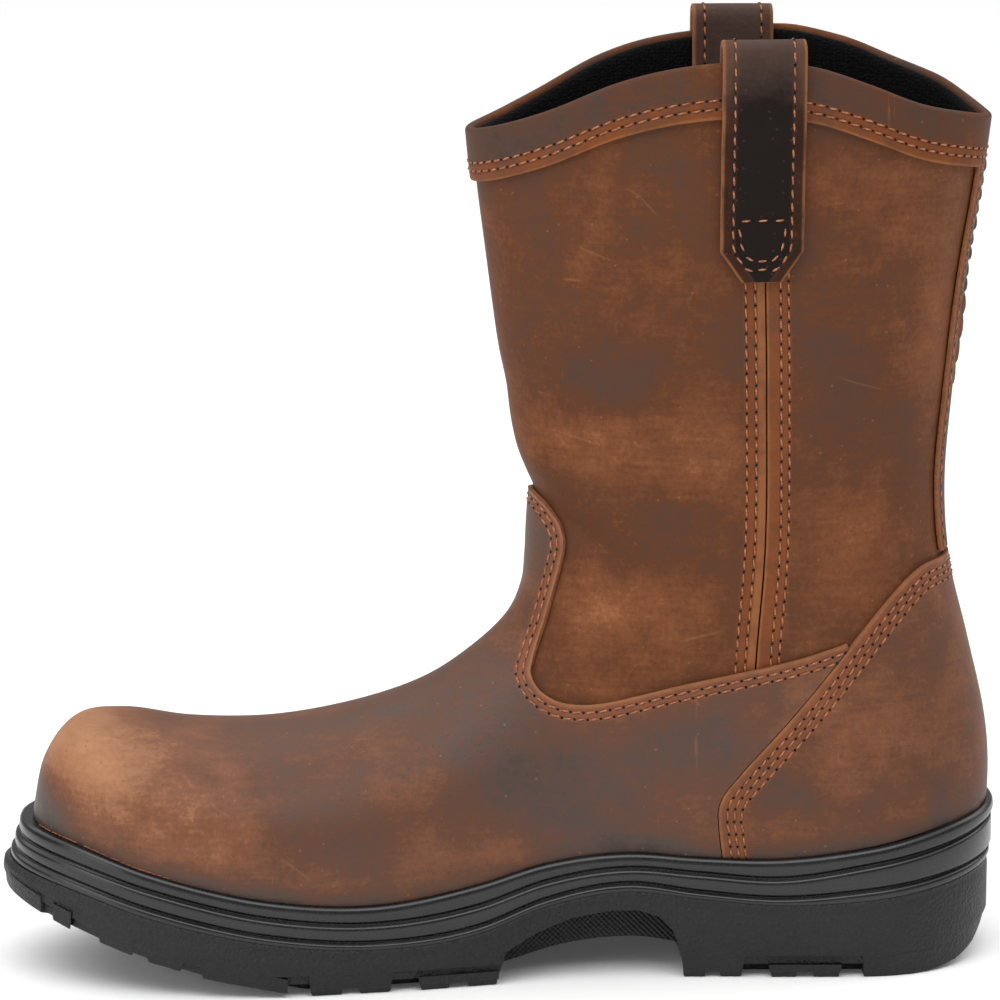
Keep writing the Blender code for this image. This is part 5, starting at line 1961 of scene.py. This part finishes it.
class BootColours(bpy.types.PropertyGroup):
    """Colours of leather, thread, rubber, lining and floor."""

    leather_black: tint("Strap leather", "Darkest leather of the straps", (0.013, 0.009, 0.008))
    leather_oiled: tint("Oiled patches", "Dark oiled leather", (0.070, 0.043, 0.034))
    leather_brown: tint("Brown leather", "Leather between its patches", (0.108, 0.040, 0.018))
    leather_warm: tint("Warm leather", "Warm rubbed leather", (0.185, 0.066, 0.027))
    leather_tan: tint("Tan leather", "Lightest leather", (0.370, 0.170, 0.078))
    leather_seam: tint("Seam leather", "Leather along stitched edges", (0.205, 0.060, 0.019))
    leather_raw: tint("Raw edge", "Cut edge of the leather", (0.290, 0.115, 0.045))
    thread: tint("Thread", "Light side of the thread", (0.460, 0.190, 0.082))
    thread_dark: tint("Thread shade", "Dark side of the thread", (0.190, 0.055, 0.018))
    rubber: tint("Rubber", "Clean rubber", (0.004, 0.004, 0.005))
    rubber_dusty: tint("Dusty rubber", "Rubber with dust on it", (0.014, 0.014, 0.016))
    lining: tint("Lining", "Dark of the lining", (0.0012, 0.0012, 0.0016))
    lining_light: tint("Lining loops", "Loops of the lining", (0.0042, 0.0042, 0.0052))
    floor: tint("Floor", "Studio floor", (0.97, 0.97, 0.97))


class BOOT_OT_sole(bpy.types.Operator):
    """Builds the banded midsole, the lugged outsole, the arch block and the welt flecks"""

    bl_idname = "boot.make_sole"
    bl_label = "Make Sole"

    def execute(self, context):
        make_midsole()
        make_outsole()
        make_shank()
        make_flecks()
        return {"FINISHED"}


class BOOT_OT_footbed(bpy.types.Operator):
    """Builds the insole that the foot stands on"""

    bl_idname = "boot.make_footbed"
    bl_label = "Make Footbed"

    def execute(self, context):
        make_footbed()
        return {"FINISHED"}


class BOOT_OT_shaft(bpy.types.Operator):
    """Builds the front and back shaft panels and the lining behind them"""

    bl_idname = "boot.make_shaft"
    bl_label = "Make Shaft"

    def execute(self, context):
        make_shaft()
        make_lining()
        return {"FINISHED"}


class BOOT_OT_vamp(bpy.types.Operator):
    """Builds the vamp over toe and instep"""

    bl_idname = "boot.make_vamp"
    bl_label = "Make Vamp"

    def execute(self, context):
        make_vamp()
        return {"FINISHED"}


class BOOT_OT_heel_leather(bpy.types.Operator):
    """Builds the heel counter and the backstay above it"""

    bl_idname = "boot.make_heel_leather"
    bl_label = "Make Heel Leather"

    def execute(self, context):
        make_counter()
        make_backstay()
        make_relief()
        return {"FINISHED"}


class BOOT_OT_collar(bpy.types.Operator):
    """Builds the folded band around the collar"""

    bl_idname = "boot.make_collar"
    bl_label = "Make Collar"

    def execute(self, context):
        make_collar()
        return {"FINISHED"}


class BOOT_OT_straps(bpy.types.Operator):
    """Builds the two folded pull straps"""

    bl_idname = "boot.make_straps"
    bl_label = "Make Pull Straps"

    def execute(self, context):
        make_straps()
        return {"FINISHED"}


class BOOT_OT_stage(bpy.types.Operator):
    """Builds the floor, the soft lights and the camera"""

    bl_idname = "boot.make_stage"
    bl_label = "Make Stage"

    def execute(self, context):
        make_stage()
        return {"FINISHED"}


OPERATORS = (BOOT_OT_sole, BOOT_OT_footbed, BOOT_OT_shaft, BOOT_OT_vamp, BOOT_OT_heel_leather,
             BOOT_OT_collar, BOOT_OT_straps, BOOT_OT_stage)


class BOOT_PT_panel(bpy.types.Panel):
    """Sidebar panel that lists the boot's pieces, sizes and colours"""

    bl_idname = "BOOT_PT_panel"
    bl_label = "Wellington Work Boot"
    bl_space_type = "VIEW_3D"
    bl_region_type = "UI"
    bl_category = "Boot"

    def draw(self, context):
        layout = self.layout
        for operator in OPERATORS:
            layout.operator(operator.bl_idname)
        for group in (context.scene.boot_sizes, context.scene.boot_colours):
            box = layout.box()
            for name in group.__annotations__:
                box.prop(group, name)


CLASSES = (BootSizes, BootColours) + OPERATORS + (BOOT_PT_panel,)


def register():
    for item in CLASSES:
        bpy.utils.register_class(item)
    bpy.types.Scene.boot_sizes = bpy.props.PointerProperty(type=BootSizes)
    bpy.types.Scene.boot_colours = bpy.props.PointerProperty(type=BootColours)


def unregister():
    del bpy.types.Scene.boot_colours
    del bpy.types.Scene.boot_sizes
    for item in reversed(CLASSES):
        bpy.utils.unregister_class(item)


def main():
    register()
    bpy.ops.boot.make_stage()
    bpy.ops.boot.make_sole()
    bpy.ops.boot.make_footbed()
    bpy.ops.boot.make_shaft()
    bpy.ops.boot.make_vamp()
    bpy.ops.boot.make_heel_leather()
    bpy.ops.boot.make_collar()
    bpy.ops.boot.make_straps()


if __name__ == "__main__":
    main()
